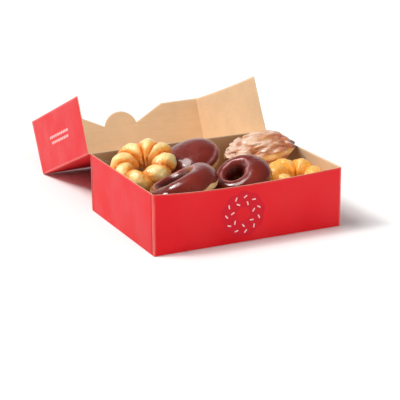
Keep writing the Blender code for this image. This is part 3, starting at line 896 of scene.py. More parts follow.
def build_crease(board, materials):
    """The scored fold between the back wall and the lid."""
    half = HALF_WIDTH - FOLD_RADIUS
    wall = HALF_DEPTH - board.thickness / 2
    slope = Vector((0, math.cos(OPEN_SLOPE), -math.sin(OPEN_SLOPE)))
    start = Vector((0, wall, HINGE.z - CREASE_START))
    end = HINGE + slope * HINGE_GAP
    pull = 0.0009                   # how far each end runs straight on before the fold bends
    first, second = start + Vector((0, 0, pull)), end - slope * pull
    points = []
    steps, columns = 10, 120
    for step in range(steps + 1):
        t = step / steps
        curve = (start * (1 - t) ** 3 + first * 3 * t * (1 - t) ** 2
                 + second * 3 * t * t * (1 - t) + end * t ** 3)
        for column in range(columns + 1):
            x = half * (2 * column / columns - 1)
            score = 0.00006 * ripple((x, step * 0.002, 0), 500, 5)
            points.append((x, curve.y, curve.z + score))
    crease = new_object("hinge_crease", points, grid_faces(steps + 1, columns + 1), materials,
                        {"wear_and_highlight": [0.9] * len(points)})
    bm = bmesh.new()
    bm.from_mesh(crease.data)
    bm.normal_update()
    if sum(face.normal.y for face in bm.faces) < 0:
        bmesh.ops.reverse_faces(bm, faces=bm.faces)
    bm.to_mesh(crease.data)
    bm.free()
    return applied(thicken(crease, board.thickness, 0))


# ---- Iced rings ----
def tube_points(turn, phi, inset, sizes, seed):
    """Points on an uneven ring: turn round the ring, phi round the tube, inset into it."""
    radius, half_width, half_height, fatter, fat_side = sizes[:5]
    side = fatter * np.cos(turn - math.radians(fat_side))
    radius = radius - half_width * side
    width = half_width * (1 + side + 0.05 * np.sin(2 * turn + seed)) - inset
    height = half_height * (1 + side / 2 + 0.04 * np.sin(3 * turn + 2 * seed)) - inset
    out = radius * (1 + 0.02 * np.sin(2 * turn + 3 * seed)) + width * np.cos(phi)
    rise = height * np.sin(phi)
    floor = -RING_SOLE * half_height
    rise = np.maximum(rise, floor + 0.25 * (rise - floor))
    return np.stack([out * np.cos(turn), out * np.sin(turn), rise], -1)


def icing_edges(turn, inner_edge, seed):
    """Angle in degrees round the tube of the coat's outer and inner edge at each turn."""
    outer = np.array([-17 + 8 * noise.noise(Vector((2.2 * math.cos(t), 2.2 * math.sin(t), seed)))
                      + 5 * noise.noise(Vector((6 * math.cos(t), 6 * math.sin(t), seed + 5)))
                      for t in turn])
    inner = np.array([inner_edge + 9 * noise.noise(Vector((1.6 * math.cos(t), 1.6 * math.sin(t),
                                                           seed + 9)))
                      for t in turn])
    return outer, inner


def coated_back(coat, from_edge):
    """Inset of a coat's back, which lies less deep beside its edge."""
    return coat * COAT_BACK + coat * (1 - COAT_BACK) * np.clip(from_edge / COAT_EDGE, 0, 1)


def build_ring(name, tilt, sizes, seed, icing, materials):
    """A fried ring and its chocolate coat, seated in their nodes' box."""
    turns, around, across = 200, 84, 64
    turn = np.linspace(0, 2 * math.pi, turns, endpoint=False)
    outer, inner = icing_edges(turn, sizes[5], seed)
    coat = icing.thickness

    phi = np.linspace(-180, 180, around, endpoint=False)[None, :] + np.zeros((turns, 1))
    shifted = np.where(phi < -60, phi + 360, phi)
    covered = smooth_step(shifted, outer[:, None] - 2, outer[:, None] + 7)
    covered *= 1 - smooth_step(shifted, inner[:, None] - 7, inner[:, None] + 2)
    inset = coat * COAT_SUNK * covered + 0.00012
    dough = tube_points(turn[:, None], np.radians(phi), inset, sizes, seed)
    below = outer[:, None] - 10
    band = np.exp(-((shifted - below) / 13) ** 2)

    # The coat's section at each turn: its face from edge to edge, then its back.
    angles, insets, lip_and_highlights = [], [], []
    shares = np.linspace(0, 1, across)
    for t, low, high in zip(turn, outer, inner):
        face = low + (high - low) * shares
        back = face[::-1][1:-1]
        crest = LIP_ANGLE + 9 * noise.noise(Vector((1.9 * math.cos(t), 1.9 * math.sin(t),
                                                    seed + 2)))
        # The lip: a raised ridge, which the chocolate paints with a pink highlight.
        lip_and_highlight = np.exp(-((face - crest) / 5.0) ** 2)
        edge = np.minimum(face - low, high - face)
        bead = -0.00035 * np.exp(-((edge - 9) / 6) ** 2) - 0.00045 * lip_and_highlight
        nose = coat * COAT_BACK * (1 - np.sqrt(np.clip(edge / COAT_EDGE, 0, 1)))
        back_edge = np.minimum(back - low, high - back)
        angles.append(np.concatenate([face, back]))
        insets.append(np.concatenate([bead + nose, coated_back(coat, back_edge)]))
        lip_and_highlights.append(np.concatenate([lip_and_highlight, 0 * back]))
    angles = np.stack(angles)
    shell = tube_points(turn[:, None], np.radians(angles), np.stack(insets), sizes, seed)
    centre = np.stack([sizes[0] * np.cos(turn), sizes[0] * np.sin(turn), 0 * turn], -1)
    for index in range(turns):
        for step, share in enumerate(shares):
            point = Vector(shell[index, step])
            away = (point - Vector(centre[index])).normalized()
            wave = 0.00045 * ripple(point, 75, seed) + 0.00018 * ripple(point, 210, seed + 3)
            shell[index, step] = point + away * wave * min(1, 4 * share, 4 * (1 - share))

    both = np.concatenate([dough.reshape(-1, 3), shell.reshape(-1, 3)])
    both = seat(both, tilt, *shared_box(name, name + "_icing"))
    count = turns * around
    ring = new_object(name + "_dough", both[:count], grid_faces(turns, around, True, True),
                      [materials["dough"]], {"band": band.ravel()})
    coat_piece = new_object(name + "_chocolate", both[count:],
                            grid_faces(turns, angles.shape[1], True, True),
                            [materials["chocolate"]],
                            {"lip_and_highlight": np.ravel(lip_and_highlights),
                             "hollow_shade": smooth_step(angles, *HOLLOW_SHADE).ravel()})
    return close_up(ring), close_up(coat_piece)


# ---- Domes ----
def dome_points(turn, lift, inset, radius, height, seed):
    """Points on an uneven round doughnut: lift is -90 degrees below to 90 on top."""
    side = np.abs(np.cos(lift)) ** 0.8
    out = (radius * (1 + 0.025 * np.sin(2 * turn + seed)) - inset) * side
    rise = (height - inset) * np.sin(lift)
    floor = -ROUND_SOLE * height
    rise = np.maximum(rise, floor + 0.3 * (rise - floor)) + 0 * turn
    return np.stack([out * np.cos(turn), out * np.sin(turn), rise], -1)


def build_round(icing, materials):
    """A filled round doughnut under a chocolate coat with a soft drip edge."""
    name, tilt, radius, height, seed = ROUND
    turns, rows, across = 180, 90, 64
    turn = np.linspace(0, 2 * math.pi, turns, endpoint=False)
    edge = np.array([-6 + 12 * noise.noise(Vector((1.7 * math.cos(t), 1.7 * math.sin(t), 3.3)))
                     + 5 * noise.noise(Vector((5 * math.cos(t), 5 * math.sin(t), 8.1)))
                     for t in turn])
    coat = icing.thickness
    lift = np.linspace(-90, 90, rows)[:, None] + np.zeros((1, turns))
    covered = smooth_step(lift, edge[None, :] - 2, edge[None, :] + 8)
    dough = dome_points(turn[None, :], np.radians(lift), coat * COAT_SUNK * covered + 0.0001,
                        radius, height, seed)
    band = np.exp(-((lift - edge[None, :] + 13) / 13) ** 2)

    shares = np.linspace(0, 1, across)
    angle = edge[None, :] + (90 - edge[None, :]) * shares[:, None]
    above = angle - edge[None, :]
    bead = -0.0004 * np.exp(-((above - 9) / 6) ** 2)
    nose = coat * COAT_BACK * (1 - np.sqrt(np.clip(above / COAT_EDGE, 0, 1)))
    outside = dome_points(turn[None, :], np.radians(angle), bead + nose, radius, height, seed)
    back = angle[::-1][:-1]
    under = dome_points(turn[None, :], np.radians(back), coated_back(coat, back - edge[None, :]),
                        radius, height, seed)
    for row, share in enumerate(shares):
        for column in range(turns):
            point = Vector(outside[row, column])
            wave = 0.0006 * ripple(point, 55, seed) + 0.0002 * ripple(point, 190, seed)
            outside[row, column] = point + point.normalized() * wave * min(1, 4 * share)
    outside[-1] = outside[-1].mean(0)
    shell = np.concatenate([under, outside])
    both = np.concatenate([dough.reshape(-1, 3), shell.reshape(-1, 3)])
    both = seat(both, tilt, *shared_box(name, name + "_icing"))
    count = rows * turns
    body = new_object(name + "_dough", both[:count], grid_faces(rows, turns, False, True),
                      [materials["dough"]], {"band": band.ravel()})
    lip_and_highlight = np.zeros(shell.shape[:2])
    # Painted highlight along the round's lip.
    lip_and_highlight[len(under):] = 0.8 * np.exp(-((angle - ROUND_LIP) / 5) ** 2)
    coat_piece = new_object(name + "_chocolate", both[count:],
                            grid_faces(shell.shape[0], turns, False, True),
                            [materials["chocolate"]], {"lip_and_highlight": lip_and_highlight.ravel()})
    return close_up(body), close_up(coat_piece)


def build_lower(name, index, materials):
    """One plain round of the lower layer, puffed unevenly, with its pale band."""
    low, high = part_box(name)
    turns, rows = 110, 64
    radius, height = (high.x - low.x) / 2, (high.z - low.z) / 2 / LOWER_FILL
    turn = np.linspace(0, 2 * math.pi, turns, endpoint=False)[None, :]
    lift = np.linspace(-90, 90, rows)[:, None]
    points = dome_points(turn, np.radians(lift), 0.0003, radius / 1.02, height, index)
    band = np.exp(-((lift + 4) / 12) ** 2) + 0 * turn
    flat = points.reshape(-1, 3)
    waves = [0.0006 * ripple(point, 60, index) + 0.0002 * ripple(point, 220, index)
             for point in flat]
    flat = flat * (1 + np.array(waves)[:, None] / 0.03)
    groove = 1 - 0.02 * np.exp(-((lift + 4) / 7) ** 2) + 0 * turn
    flat = flat * np.stack([groove.ravel(), groove.ravel(), np.ones(len(flat))], -1)
    flat = flat.reshape(rows, turns, 3)
    flat[0], flat[-1] = flat[0].mean(0), flat[-1].mean(0)
    flat = flat.reshape(-1, 3)
    flat += (np.array(low) + np.array(high)) / 2 - (flat.min(0) + flat.max(0)) / 2
    body = new_object(name + "_round", flat, grid_faces(rows, turns, False, True),
                      [materials["dough"]], {"band": band.ravel()})
    return close_up(body)


# ---- Crullers by geometry nodes ----
def new_group(name, sizes):
    """A geometry node group with named number inputs: (group, its tree, its given values)."""
    group = bpy.data.node_groups.new(name, 'GeometryNodeTree')
    group.interface.new_socket("Geometry", in_out='INPUT', socket_type='NodeSocketGeometry')
    for label, default in sizes:
        kind = 'NodeSocketInt' if isinstance(default, int) else 'NodeSocketFloat'
        socket = group.interface.new_socket(label, in_out='INPUT', socket_type=kind)
        socket.default_value = default
    group.interface.new_socket("Geometry", in_out='OUTPUT', socket_type='NodeSocketGeometry')
    tree = Tree(group)
    return group, tree, tree.node("NodeGroupInput").outputs


def cruller_tree(material):
    """Node group that wraps a grid into a piped ring whose star section turns as it runs."""
    sizes = (("Ring Radius", 0.0240), ("Tube Radius", 0.0148), ("Points", 1.0), ("Turns", 8.0),
             ("Valley", 0.70), ("Ridge", 0.33), ("Sharpness", 0.80), ("Phase", 0.9),
             ("Lopsided", 0.20), ("Fat Side", 0.5), ("Sway", 0.5),
             ("Puff", 0.0022), ("Blister", 0.0003), ("Baked", 0.0))
    group, tree, given = new_group("piped_cruller", sizes)
    grid = tree.node("GeometryNodeMeshGrid", {"Size X": 1.0, "Size Y": 1.0,
                                              "Vertices X": 321, "Vertices Y": 113})
    spot = tree.node("GeometryNodeInputPosition").outputs[0]
    u, v, _ = tree.split(spot)
    turn = tree.math('MULTIPLY', tree.math('ADD', u, 0.5), 2 * math.pi)
    phi = tree.math('MULTIPLY', tree.math('ADD', v, 0.5), 2 * math.pi)
    wave = tree.math('ADD', tree.math('MULTIPLY', phi, given["Points"]),
                     tree.math('MULTIPLY', turn, given["Turns"]))
    wave = tree.math('ADD', wave, given["Phase"])
    drift = tree.math('SINE', tree.math('ADD', tree.math('MULTIPLY', turn, 2), given["Phase"]))
    wave = tree.math('ADD', wave, tree.math('MULTIPLY', drift, given["Sway"]))
    crest = tree.math('ABSOLUTE', tree.math('COSINE', tree.math('MULTIPLY', wave, 0.5)))
    swell = tree.math('POWER', crest, given["Sharpness"])
    ridge = tree.math('ADD', given["Valley"], tree.math('MULTIPLY', swell, given["Ridge"]))
    side = tree.math('MULTIPLY', given["Lopsided"],
                     tree.math('COSINE', tree.math('SUBTRACT', turn, given["Fat Side"])))
    slow = tree.math('ADD', tree.math('MULTIPLY', turn, 3),
                     tree.math('MULTIPLY', given["Phase"], 2))
    uneven = tree.math('ADD', side, tree.math('MULTIPLY', tree.math('SINE', slow), 0.04))
    tube = tree.math('MULTIPLY', tree.math('MULTIPLY', given["Tube Radius"], ridge),
                     tree.math('ADD', uneven, 1))
    middle = tree.math('SUBTRACT', given["Ring Radius"],
                       tree.math('MULTIPLY', given["Tube Radius"], side))
    out = tree.math('ADD', middle, tree.math('MULTIPLY', tube, tree.math('COSINE', phi)))
    rise = tree.math('MULTIPLY', tube, tree.math('SINE', phi))
    floor = tree.math('MULTIPLY', given["Tube Radius"], -CRULLER_SOLE)
    eased = tree.math('ADD', floor, tree.math('MULTIPLY', tree.math('SUBTRACT', rise, floor), 0.3))
    rise = tree.math('MAXIMUM', rise, eased)
    wrapped = tree.node("ShaderNodeCombineXYZ", {
        0: tree.math('MULTIPLY', out, tree.math('COSINE', turn)),
        1: tree.math('MULTIPLY', out, tree.math('SINE', turn)), 2: rise}).outputs[0]
    # Where the tube faces the hole, kept for its painted shade.
    inward_shade = tree.fade(tree.math('COSINE', phi), -0.25, -0.95)
    kept = grid.outputs[0]
    for label, value in (("crest", crest), ("baked", given["Baked"]), ("inward_shade", inward_shade)):
        kept = tree.node("GeometryNodeStoreNamedAttribute",
                         {"Geometry": kept, "Name": label, "Value": value},
                         data_type='FLOAT', domain='POINT').outputs[0]
    ring = tree.node("GeometryNodeSetPosition", {"Geometry": kept, "Position": wrapped}).outputs[0]
    ring = tree.node("GeometryNodeMergeByDistance", {"Geometry": ring, "Distance": 1e-6}).outputs[0]
    ring = tree.node("GeometryNodeFlipFaces", {"Mesh": ring}).outputs[0]
    place = tree.node("GeometryNodeInputPosition").outputs[0]
    moved = tree.node("ShaderNodeVectorMath", {0: place, 1: (1.3, 4.1, 2.7)}).outputs[0]
    puff = tree.swing(tree.noise(moved, 90, 2, 0.5), tree.math('MULTIPLY', given["Puff"], 2))
    fine = tree.swing(tree.noise(moved, 420, 3, 0.6), tree.math('MULTIPLY', given["Blister"], 2))
    normal = tree.node("GeometryNodeInputNormal").outputs[0]
    push = tree.node("ShaderNodeVectorMath", {0: normal}, operation='SCALE')
    tree.feed(push.inputs["Scale"], tree.math('ADD', puff, fine))
    ring = tree.node("GeometryNodeSetPosition", {"Geometry": ring,
                                                 "Offset": push.outputs[0]}).outputs[0]
    ring = tree.node("GeometryNodeSetShadeSmooth", {"Geometry": ring}).outputs[0]
    ring = tree.node("GeometryNodeRealizeInstances", {"Geometry": ring}).outputs[0]
    ring = tree.node("GeometryNodeSetMaterial", {"Geometry": ring, "Material": material}).outputs[0]
    tree.node("NodeGroupOutput", {0: ring})
    return group


def set_inputs(modifier, group, values):
    """Set a node modifier's inputs by their sockets' identifiers."""
    for item in group.interface.items_tree:
        if item.item_type == 'SOCKET' and item.in_out == 'INPUT' and item.name in values:
            modifier[item.identifier] = values[item.name]


def build_cruller(spot, settings, group, material):
    """One cruller from the node group, seated in its node's box."""
    name, tilt, size, phase, turns, fat_side, baked = spot
    obj = new_object(name + "_choux", [(0, 0, 0)], [], [material])
    modifier = obj.modifiers.new("piping", 'NODES')
    modifier.node_group = group
    set_inputs(modifier, group, {"Ring Radius": settings.ring_radius * size,
                                 "Tube Radius": settings.tube_radius * size,
                                 "Points": float(settings.points), "Turns": float(turns),
                                 "Phase": phase, "Lopsided": settings.lopsided,
                                 "Fat Side": math.radians(fat_side), "Baked": baked})
    applied(obj)
    seat_object(obj, tilt, *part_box(name))
    return close_up(obj)


def seat_object(obj, tilt, low, high):
    """Turn and centre an object's own mesh in a box."""
    count = len(obj.data.vertices)
    points = np.empty(count * 3, np.float32)
    obj.data.vertices.foreach_get("co", points)
    placed = seat(points.reshape(-1, 3).astype(float), tilt, low, high)
    obj.data.vertices.foreach_set("co", placed.astype(np.float32).ravel())
    obj.data.update()


# ---- The fritter ----
def fritter_fall(across):
    """Share of the full height at across, which is -1 at the left end and 1 at the right."""
    left, right = FRITTER_FALLS
    if across < FRITTER_PEAK:
        return 1 - left * ((FRITTER_PEAK - across) / (1 + FRITTER_PEAK)) ** 1.2
    return 1 - right * ((across - FRITTER_PEAK) / (1 - FRITTER_PEAK)) ** 1.5


def build_fritter(material):
    """A flat lump with knobs, creases and pooled glaze."""
    name, tilt, size = FRITTER
    noise.seed_set(FRITTER_SEED)
    bm = bmesh.new()
    bmesh.ops.create_icosphere(bm, subdivisions=7, radius=1)
    directions = [vert.co.normalized() for vert in bm.verts]
    faces = [tuple(vert.index for vert in face.verts) for face in bm.faces]
    bm.free()
    points, glaze, knob, side_band, right_shade, end_shade = [], [], [], [], [], []
    for direction in directions:
        lumps = noise.noise(direction * 2.6 + Vector((3.1, 0.4, 7.7)))
        knobs = noise.noise(direction * 5.5 + Vector((0.2, 5.3, 1.9)))
        up = max(0, direction.z + 0.4)
        swell = 1 + 0.10 * lumps + 0.06 * knobs * up
        # Creases run where two cells of the dough meet.
        warp = direction + 0.30 * noise.noise_vector(direction * 1.6 + Vector((5.5, 0.1, 2.2)))
        cells = noise.voronoi(warp * 1.7 + Vector((2.2, 0.7, 5.1)))[0]
        crease = min(1, (cells[1] - cells[0]) / 0.50)
        crease = crease * crease * (3 - 2 * crease)
        swell -= 0.095 * (1 - crease) * min(1, up * 1.6)
        fine = noise.fractal(direction * 4.5 + Vector((4.4, 1.2, 0.3)), 0.9, 2.0, 4)
        swell += 0.020 * fine
        flat = max(direction.z, -FRITTER_SOLE + 0.2 * (direction.z + FRITTER_SOLE))
        side = math.hypot(direction.x, direction.y)
        fuller = side ** 0.75 / max(side, 0.001)
        fall = fritter_fall(direction.x)
        points.append(Vector((direction.x * fuller * size[0], direction.y * fuller * size[1],
                              flat * fall * size[2])) * swell)
        # Glaze pools on top; to the right it is thinner and the crust is rougher, and painted shade
        # darkens the crust, to near black at the right end.
        pool = noise.noise(direction * 2.9 + Vector((7.3, 2.1, 0.9)))
        runs = noise.noise(direction * 7.0 + Vector((1.1, 9.2, 3.4)))
        rightward = smooth_step(direction.x, 0.12, 0.55)
        glaze.append(min(1, max(0, 0.78 + 0.70 * pool + (0.25 + 0.9 * rightward) * runs
                                - (0.25 + 0.35 * rightward) * (1 - crease) - 0.42 * rightward
                                - 1.4 * max(0, 0.10 - direction.z))))
        # Knob is low in the creases, which the crust paints with shade.
        knob.append(min(1, max(0, crease * 0.9 + 0.3 * fine)))
        right_shade.append(min(1, max(0, 0.9 * rightward + 0.6 * runs)))
        end_shade.append(float(smooth_step(direction.x + 0.25 * runs, 0.74, 0.92)))
        side_band.append(math.exp(-((direction.z + 0.12) / 0.20) ** 2))
    placed = seat([tuple(point) for point in points], tilt, *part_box(name))
    obj = new_object(name + "_crust", placed, faces, [material],
                     {"glaze": glaze, "knob": knob, "side": side_band, "right_shade": right_shade,
                      "end_shade": end_shade})
    return close_up(obj)


# ---- Crumbs by geometry nodes ----
def crumb_tree(material):
    """Node group that scatters small broken bits over the faces it is given."""
    group, tree, given = new_group("scattered_bits", (
        ("Density", 4000.0), ("Smallest", 0.0004), ("Largest", 0.0012), ("Flatness", 0.6),
        ("Seed", 0)))
    scatter = tree.node("GeometryNodeDistributePointsOnFaces",
                        {"Mesh": given["Geometry"], "Density": given["Density"],
                         "Seed": given["Seed"]})
    bit = tree.node("GeometryNodeMeshIcoSphere", {"Radius": 0.5, "Subdivisions": 2}).outputs[0]
    place = tree.node("GeometryNodeInputPosition").outputs[0]
    lump = tree.fade(tree.noise(place, 3.2, 2, 0.5), 0.3, 0.7, -0.45, 0.35)
    push = tree.node("ShaderNodeVectorMath", {0: place}, operation='SCALE')
    tree.feed(push.inputs["Scale"], lump)
    bit = tree.node("GeometryNodeSetPosition",
                    {"Geometry": bit, "Offset": push.outputs[0]}).outputs[0]
    scale = tree.node("FunctionNodeRandomValue", data_type='FLOAT')
    for key, value in (("Min", given["Smallest"]), ("Max", given["Largest"])):
        tree.feed([s for s in scale.inputs if s.name == key and s.type == 'VALUE'][0], value)
    size = [s for s in scale.outputs if s.type == 'VALUE'][0]
    vector = tree.node("ShaderNodeCombineXYZ",
                       {0: size, 1: size,
                        2: tree.math('MULTIPLY', size, given["Flatness"])}).outputs[0]
    placed = tree.node("GeometryNodeInstanceOnPoints",
                       {"Points": scatter.outputs["Points"], "Instance": bit,
                        "Rotation": scatter.outputs["Rotation"], "Scale": vector}).outputs[0]
    real = tree.node("GeometryNodeRealizeInstances", {"Geometry": placed}).outputs[0]
    done = tree.node("GeometryNodeSetMaterial", {"Geometry": real, "Material": material}).outputs[0]
    tree.node("NodeGroupOutput", {0: done})
    return group


def scatter_bits(name, carrier_points, carrier_faces, values, group, material):
    """Crumbs over a carrier sheet; only the crumbs are kept."""
    obj = new_object(name, carrier_points, carrier_faces, [material])
    modifier = obj.modifiers.new("bits", 'NODES')
    modifier.node_group = group
    set_inputs(modifier, group, values)
    return applied(obj)


def build_glaze_drop(material):
    """A small drop of sugar glaze that dried on the front rim near the left corner."""
    bm = bmesh.new()
    bmesh.ops.create_icosphere(bm, subdivisions=5, radius=1)
    spot, size = DROP
    for vert in bm.verts:
        swell = 1 + 0.22 * ripple(vert.co, 1.7, 2.0)
        vert.co = Vector([at + half * way * swell for at, half, way in zip(spot, size, vert.co)])
    return from_bmesh("rim_glaze_drop", bm, [material])


# ---- Stage ----
def build_floor():
    """A wide pale floor with a faint grain."""
    material, tree, shader = new_material("pale_floor", specular_ior_level=0.2)
    place = tree.place()
    grain = tree.noise(place, 6, 3, 0.5)
    tree.feed(shader.inputs["Base Color"],
              tree.mix(grain, (0.95, 0.975, 0.975), (0.965, 0.985, 0.985)))
    tree.feed(shader.inputs["Roughness"], tree.fade(grain, 0.3, 0.7, 0.7, 0.8))
    size, cells = 12.0, 25
    points = [(size * (column / (cells - 1) - 0.5), size * (row / (cells - 1) - 0.5), -0.0002)
              for row in range(cells) for column in range(cells)]
    floor = new_object("floor", points, grid_faces(cells, cells), [material])


def build_light(stage):
    """A pale room, brighter behind the box, and three soft lights.

    The key light stands high on the left, the fill light in front, and the small one gives the
    icing its glints.
    """
    world = bpy.data.worlds.new("pale_room")
    bpy.context.scene.world = world
    world.use_nodes = True
    tree = Tree(world.node_tree)
    background = world.node_tree.nodes["Background"]
    way = tree.node("ShaderNodeTexCoord").outputs["Generated"]
    _, y, z = tree.split(way)
    behind = tree.math('MULTIPLY', tree.fade(y, 0.0, 0.9), tree.fade(z, 0.25, 0.75, 1.0, 0.0))
    colour = tree.mix(behind, (0.16, 0.16, 0.165), (1.0, 1.0, 1.0))
    tree.feed(background.inputs[0], colour)
    background.inputs[1].default_value = stage.world_strength
    for name, way, strength, spread, tint, glossy in (
            ("key_light", (-0.50, 0.20, 0.84), stage.key_strength, 34, (1.0, 0.98, 0.95), True),
            ("fill_light", (0.05, -0.93, 0.36), stage.fill_strength, 50, (1.0, 0.99, 0.98), False),
            ("glint_light", (-0.60, 0.22, 0.76), stage.glint_strength, 12, (1.0, 1.0, 1.0), True)):
        light = bpy.data.lights.new(name, 'SUN')
        light.energy = strength
        light.angle = math.radians(spread)
        light.color = tint
        lamp = bpy.data.objects.new(name, light)
        bpy.context.scene.collection.objects.link(lamp)
        lamp.rotation_euler = Vector(way).to_track_quat('Z', 'Y').to_euler()
        lamp.visible_glossy = glossy


def build_camera():
    """A long lens in front, a little to the left and above."""
    azimuth, elevation, roll = -0.4409, 0.3045, -0.009
    reach, side, drop = 1.63990, 0.01626, -0.02131
    back = Vector((math.sin(azimuth) * math.cos(elevation),
                   -math.cos(azimuth) * math.cos(elevation), math.sin(elevation)))
    right = Vector((0, 0, 1)).cross(back).normalized()
    up = back.cross(right)
    right, up = (math.cos(roll) * right + math.sin(roll) * up,
                 -math.sin(roll) * right + math.cos(roll) * up)
    turn = Matrix((right, up, back))
    camera = bpy.data.cameras.new("camera")
    obj = bpy.data.objects.new("camera", camera)
    bpy.context.scene.collection.objects.link(obj)
    matrix = turn.transposed().to_4x4()
    matrix.translation = -(turn.transposed() @ Vector((side, drop, -reach)))
    obj.matrix_world = matrix
    camera.lens = 124.74
    camera.sensor_width = 36
    camera.clip_end = 20
    bpy.context.scene.camera = obj
    bpy.context.scene.view_settings.view_transform = 'Standard'


# ---- Operators ----
def settings():
    """The scene's settings for this object."""
    return bpy.context.scene.doughnut_box


def board_materials(part):
    """Outside, inside and cut edge for the tray or the lid."""
    board = settings().board
    edge = bpy.data.materials.get("board_cut_edge") or cut_edge(board)
    if part == "tray":
        return [red_board(board, "tray_red_print", tray_prints),
                kraft_board(board, "tray_kraft", (0.12, 0.12, 1), 0.55), edge]
    return [red_board(board, "lid_red_print", lid_prints),
            kraft_board(board, "lid_kraft", (0.10, 0.5, 1), 0.0), edge]


def food_materials():
    """Materials shared by the rings and rounds."""
    food = settings()
    made = bpy.data.materials
    return {"dough": made.get("ring_dough") or ring_dough(food.dough),
            "chocolate": made.get("poured_chocolate") or chocolate(food.icing)}


def hand_over(obj, body, slot, *nodes):
    """Give a finished piece its body and hide the nodes it stands for. The slot is not used."""
    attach(obj, body)
    if nodes:
        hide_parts(*nodes)


class DOUGHNUTBOX_OT_tray(bpy.types.Operator):
    """Build the tray's walls and floor and the glue flaps inside it"""
    bl_idname = "doughnut_box.tray"
    bl_label = "Build Tray"

    def execute(self, context):
        board = settings().board
        outside, inside, edge = board_materials("tray")
        hand_over(build_tray(board, [outside, inside, edge]), "tray", "tray_board", "tray")
        hand_over(build_glue_flaps(board, [inside, inside, edge]), "tray", "tray_board")
        return {'FINISHED'}


class DOUGHNUTBOX_OT_lid(bpy.types.Operator):
    """Build the open lid with its three skirts, and the fold that hinges it"""
    bl_idname = "doughnut_box.lid"
    bl_label = "Build Lid"

    def execute(self, context):
        board = settings().board
        materials = board_materials("lid")
        hand_over(build_lid(board, materials), "lid", "lid_board", "lid")
        crease = build_crease(board, materials)
        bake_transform(crease)
        return {'FINISHED'}


class DOUGHNUTBOX_OT_iced_rings(bpy.types.Operator):
    """Build the two rings and their chocolate coats"""
    bl_idname = "doughnut_box.iced_rings"
    bl_label = "Build Iced Rings"

    def execute(self, context):
        for name, tilt, sizes, seed in RINGS:
            ring, coat = build_ring(name, tilt, sizes, seed, settings().icing, food_materials())
            hand_over(ring, "tray", "doughnut_dough", name)
            hand_over(coat, "tray", "chocolate_icing", name + "_icing")
        return {'FINISHED'}


class DOUGHNUTBOX_OT_iced_round(bpy.types.Operator):
    """Build the filled round doughnut and its chocolate coat"""
    bl_idname = "doughnut_box.iced_round"
    bl_label = "Build Iced Round"

    def execute(self, context):
        body, coat = build_round(settings().icing, food_materials())
        hand_over(body, "tray", "doughnut_dough", ROUND[0])
        hand_over(coat, "tray", "chocolate_icing", ROUND[0] + "_icing")
        return {'FINISHED'}


class DOUGHNUTBOX_OT_crullers(bpy.types.Operator):
    """Build the two piped crullers"""
    bl_idname = "doughnut_box.crullers"
    bl_label = "Build Crullers"

    def execute(self, context):
        material = choux(settings().cruller)
        group = cruller_tree(material)
        for spot in CRULLERS:
            piece = build_cruller(spot, settings().cruller, group, material)
            hand_over(piece, "tray", "glazed_choux", spot[0])
        return {'FINISHED'}


class DOUGHNUTBOX_OT_fritter(bpy.types.Operator):
    """Build the glazed fritter"""
    bl_idname = "doughnut_box.fritter"
    bl_label = "Build Fritter"

    def execute(self, context):
        hand_over(build_fritter(fritter_crust()), "tray", "glazed_fritter", FRITTER[0])
        return {'FINISHED'}


class DOUGHNUTBOX_OT_lower_layer(bpy.types.Operator):
    """Build the six rounds of the lower layer"""
    bl_idname = "doughnut_box.lower_layer"
    bl_label = "Build Lower Layer"

    def execute(self, context):
        for index, name in enumerate(LOWER):
            hand_over(build_lower(name, index, food_materials()), "tray", "doughnut_dough", name)
        return {'FINISHED'}


class DOUGHNUTBOX_OT_crumbs(bpy.types.Operator):
    """Scatter crumbs over the tray's floor and put the drop of glaze on its rim"""
    bl_idname = "doughnut_box.crumbs"
    bl_label = "Scatter Crumbs"

    def execute(self, context):
        material = crumb_material("crust_crumbs", (0.55, 0.24, 0.07), (0.88, 0.62, 0.32))
        group = crumb_tree(material)
        x, y = HALF_WIDTH - CRUMB_MARGIN, HALF_DEPTH - CRUMB_MARGIN
        z = BOARD + CRUMB_LIFT
        crumbs = scatter_bits("floor_crumbs", [(-x, -y, z), (x, -y, z), (x, y, z), (-x, y, z)],
                              [(0, 1, 2, 3)], {"Density": CRUMB_DENSITY, "Seed": 4}, group,
                              material)
        hand_over(crumbs, "tray", "doughnut_dough")
        white = crumb_material("white_glaze", (0.86, 0.78, 0.76), (0.95, 0.91, 0.89))
        hand_over(build_glaze_drop(white), "tray", "glazed_choux")
        return {'FINISHED'}


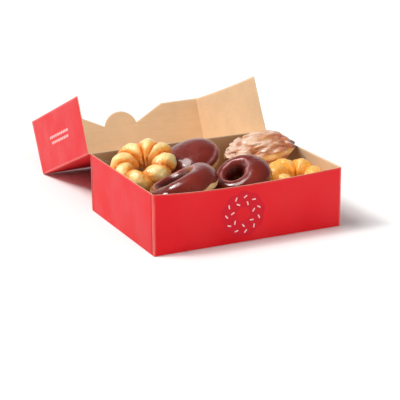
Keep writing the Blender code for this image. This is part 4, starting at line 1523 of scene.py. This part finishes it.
class DOUGHNUTBOX_OT_stage(bpy.types.Operator):
    """Set the pale floor, the soft light and the camera"""
    bl_idname = "doughnut_box.stage"
    bl_label = "Set Stage"

    def execute(self, context):
        build_floor()
        build_light(settings().stage)
        build_camera()
        return {'FINISHED'}


# ---- Panel ----
class DoughnutBoxSettings(bpy.types.PropertyGroup):
    """All settings of the box of doughnuts."""
    board: PointerProperty(type=BoardSettings)
    icing: PointerProperty(type=IcingSettings)
    dough: PointerProperty(type=DoughSettings)
    cruller: PointerProperty(type=CrullerSettings)
    stage: PointerProperty(type=StageSettings)


OPERATORS = (DOUGHNUTBOX_OT_tray, DOUGHNUTBOX_OT_lid, DOUGHNUTBOX_OT_iced_rings,
             DOUGHNUTBOX_OT_iced_round, DOUGHNUTBOX_OT_crullers, DOUGHNUTBOX_OT_fritter,
             DOUGHNUTBOX_OT_lower_layer, DOUGHNUTBOX_OT_crumbs, DOUGHNUTBOX_OT_stage)


class DOUGHNUTBOX_PT_panel(bpy.types.Panel):
    """Lists the settings and the operators"""
    bl_label = "Box of Doughnuts"
    bl_idname = "DOUGHNUTBOX_PT_panel"
    bl_space_type = 'VIEW_3D'
    bl_region_type = 'UI'
    bl_category = "Doughnuts"

    def draw(self, context):
        box = context.scene.doughnut_box
        for group in (box.board, box.icing, box.dough, box.cruller, box.stage):
            column = self.layout.column(align=True)
            for key in group.__annotations__:
                column.prop(group, key)
        for operator in OPERATORS:
            self.layout.operator(operator.bl_idname)


CLASSES = (BoardSettings, IcingSettings, DoughSettings, CrullerSettings, StageSettings,
           DoughnutBoxSettings, *OPERATORS, DOUGHNUTBOX_PT_panel)


def register():
    for cls in CLASSES:
        bpy.utils.register_class(cls)
    bpy.types.Scene.doughnut_box = PointerProperty(type=DoughnutBoxSettings)


def unregister():
    del bpy.types.Scene.doughnut_box
    for cls in reversed(CLASSES):
        bpy.utils.unregister_class(cls)


def main():
    """Build every piece."""
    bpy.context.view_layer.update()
    register()
    for operator in OPERATORS:
        name = operator.bl_idname.split(".")[1]
        getattr(bpy.ops.doughnut_box, name)()


if __name__ == "__main__":
    main()
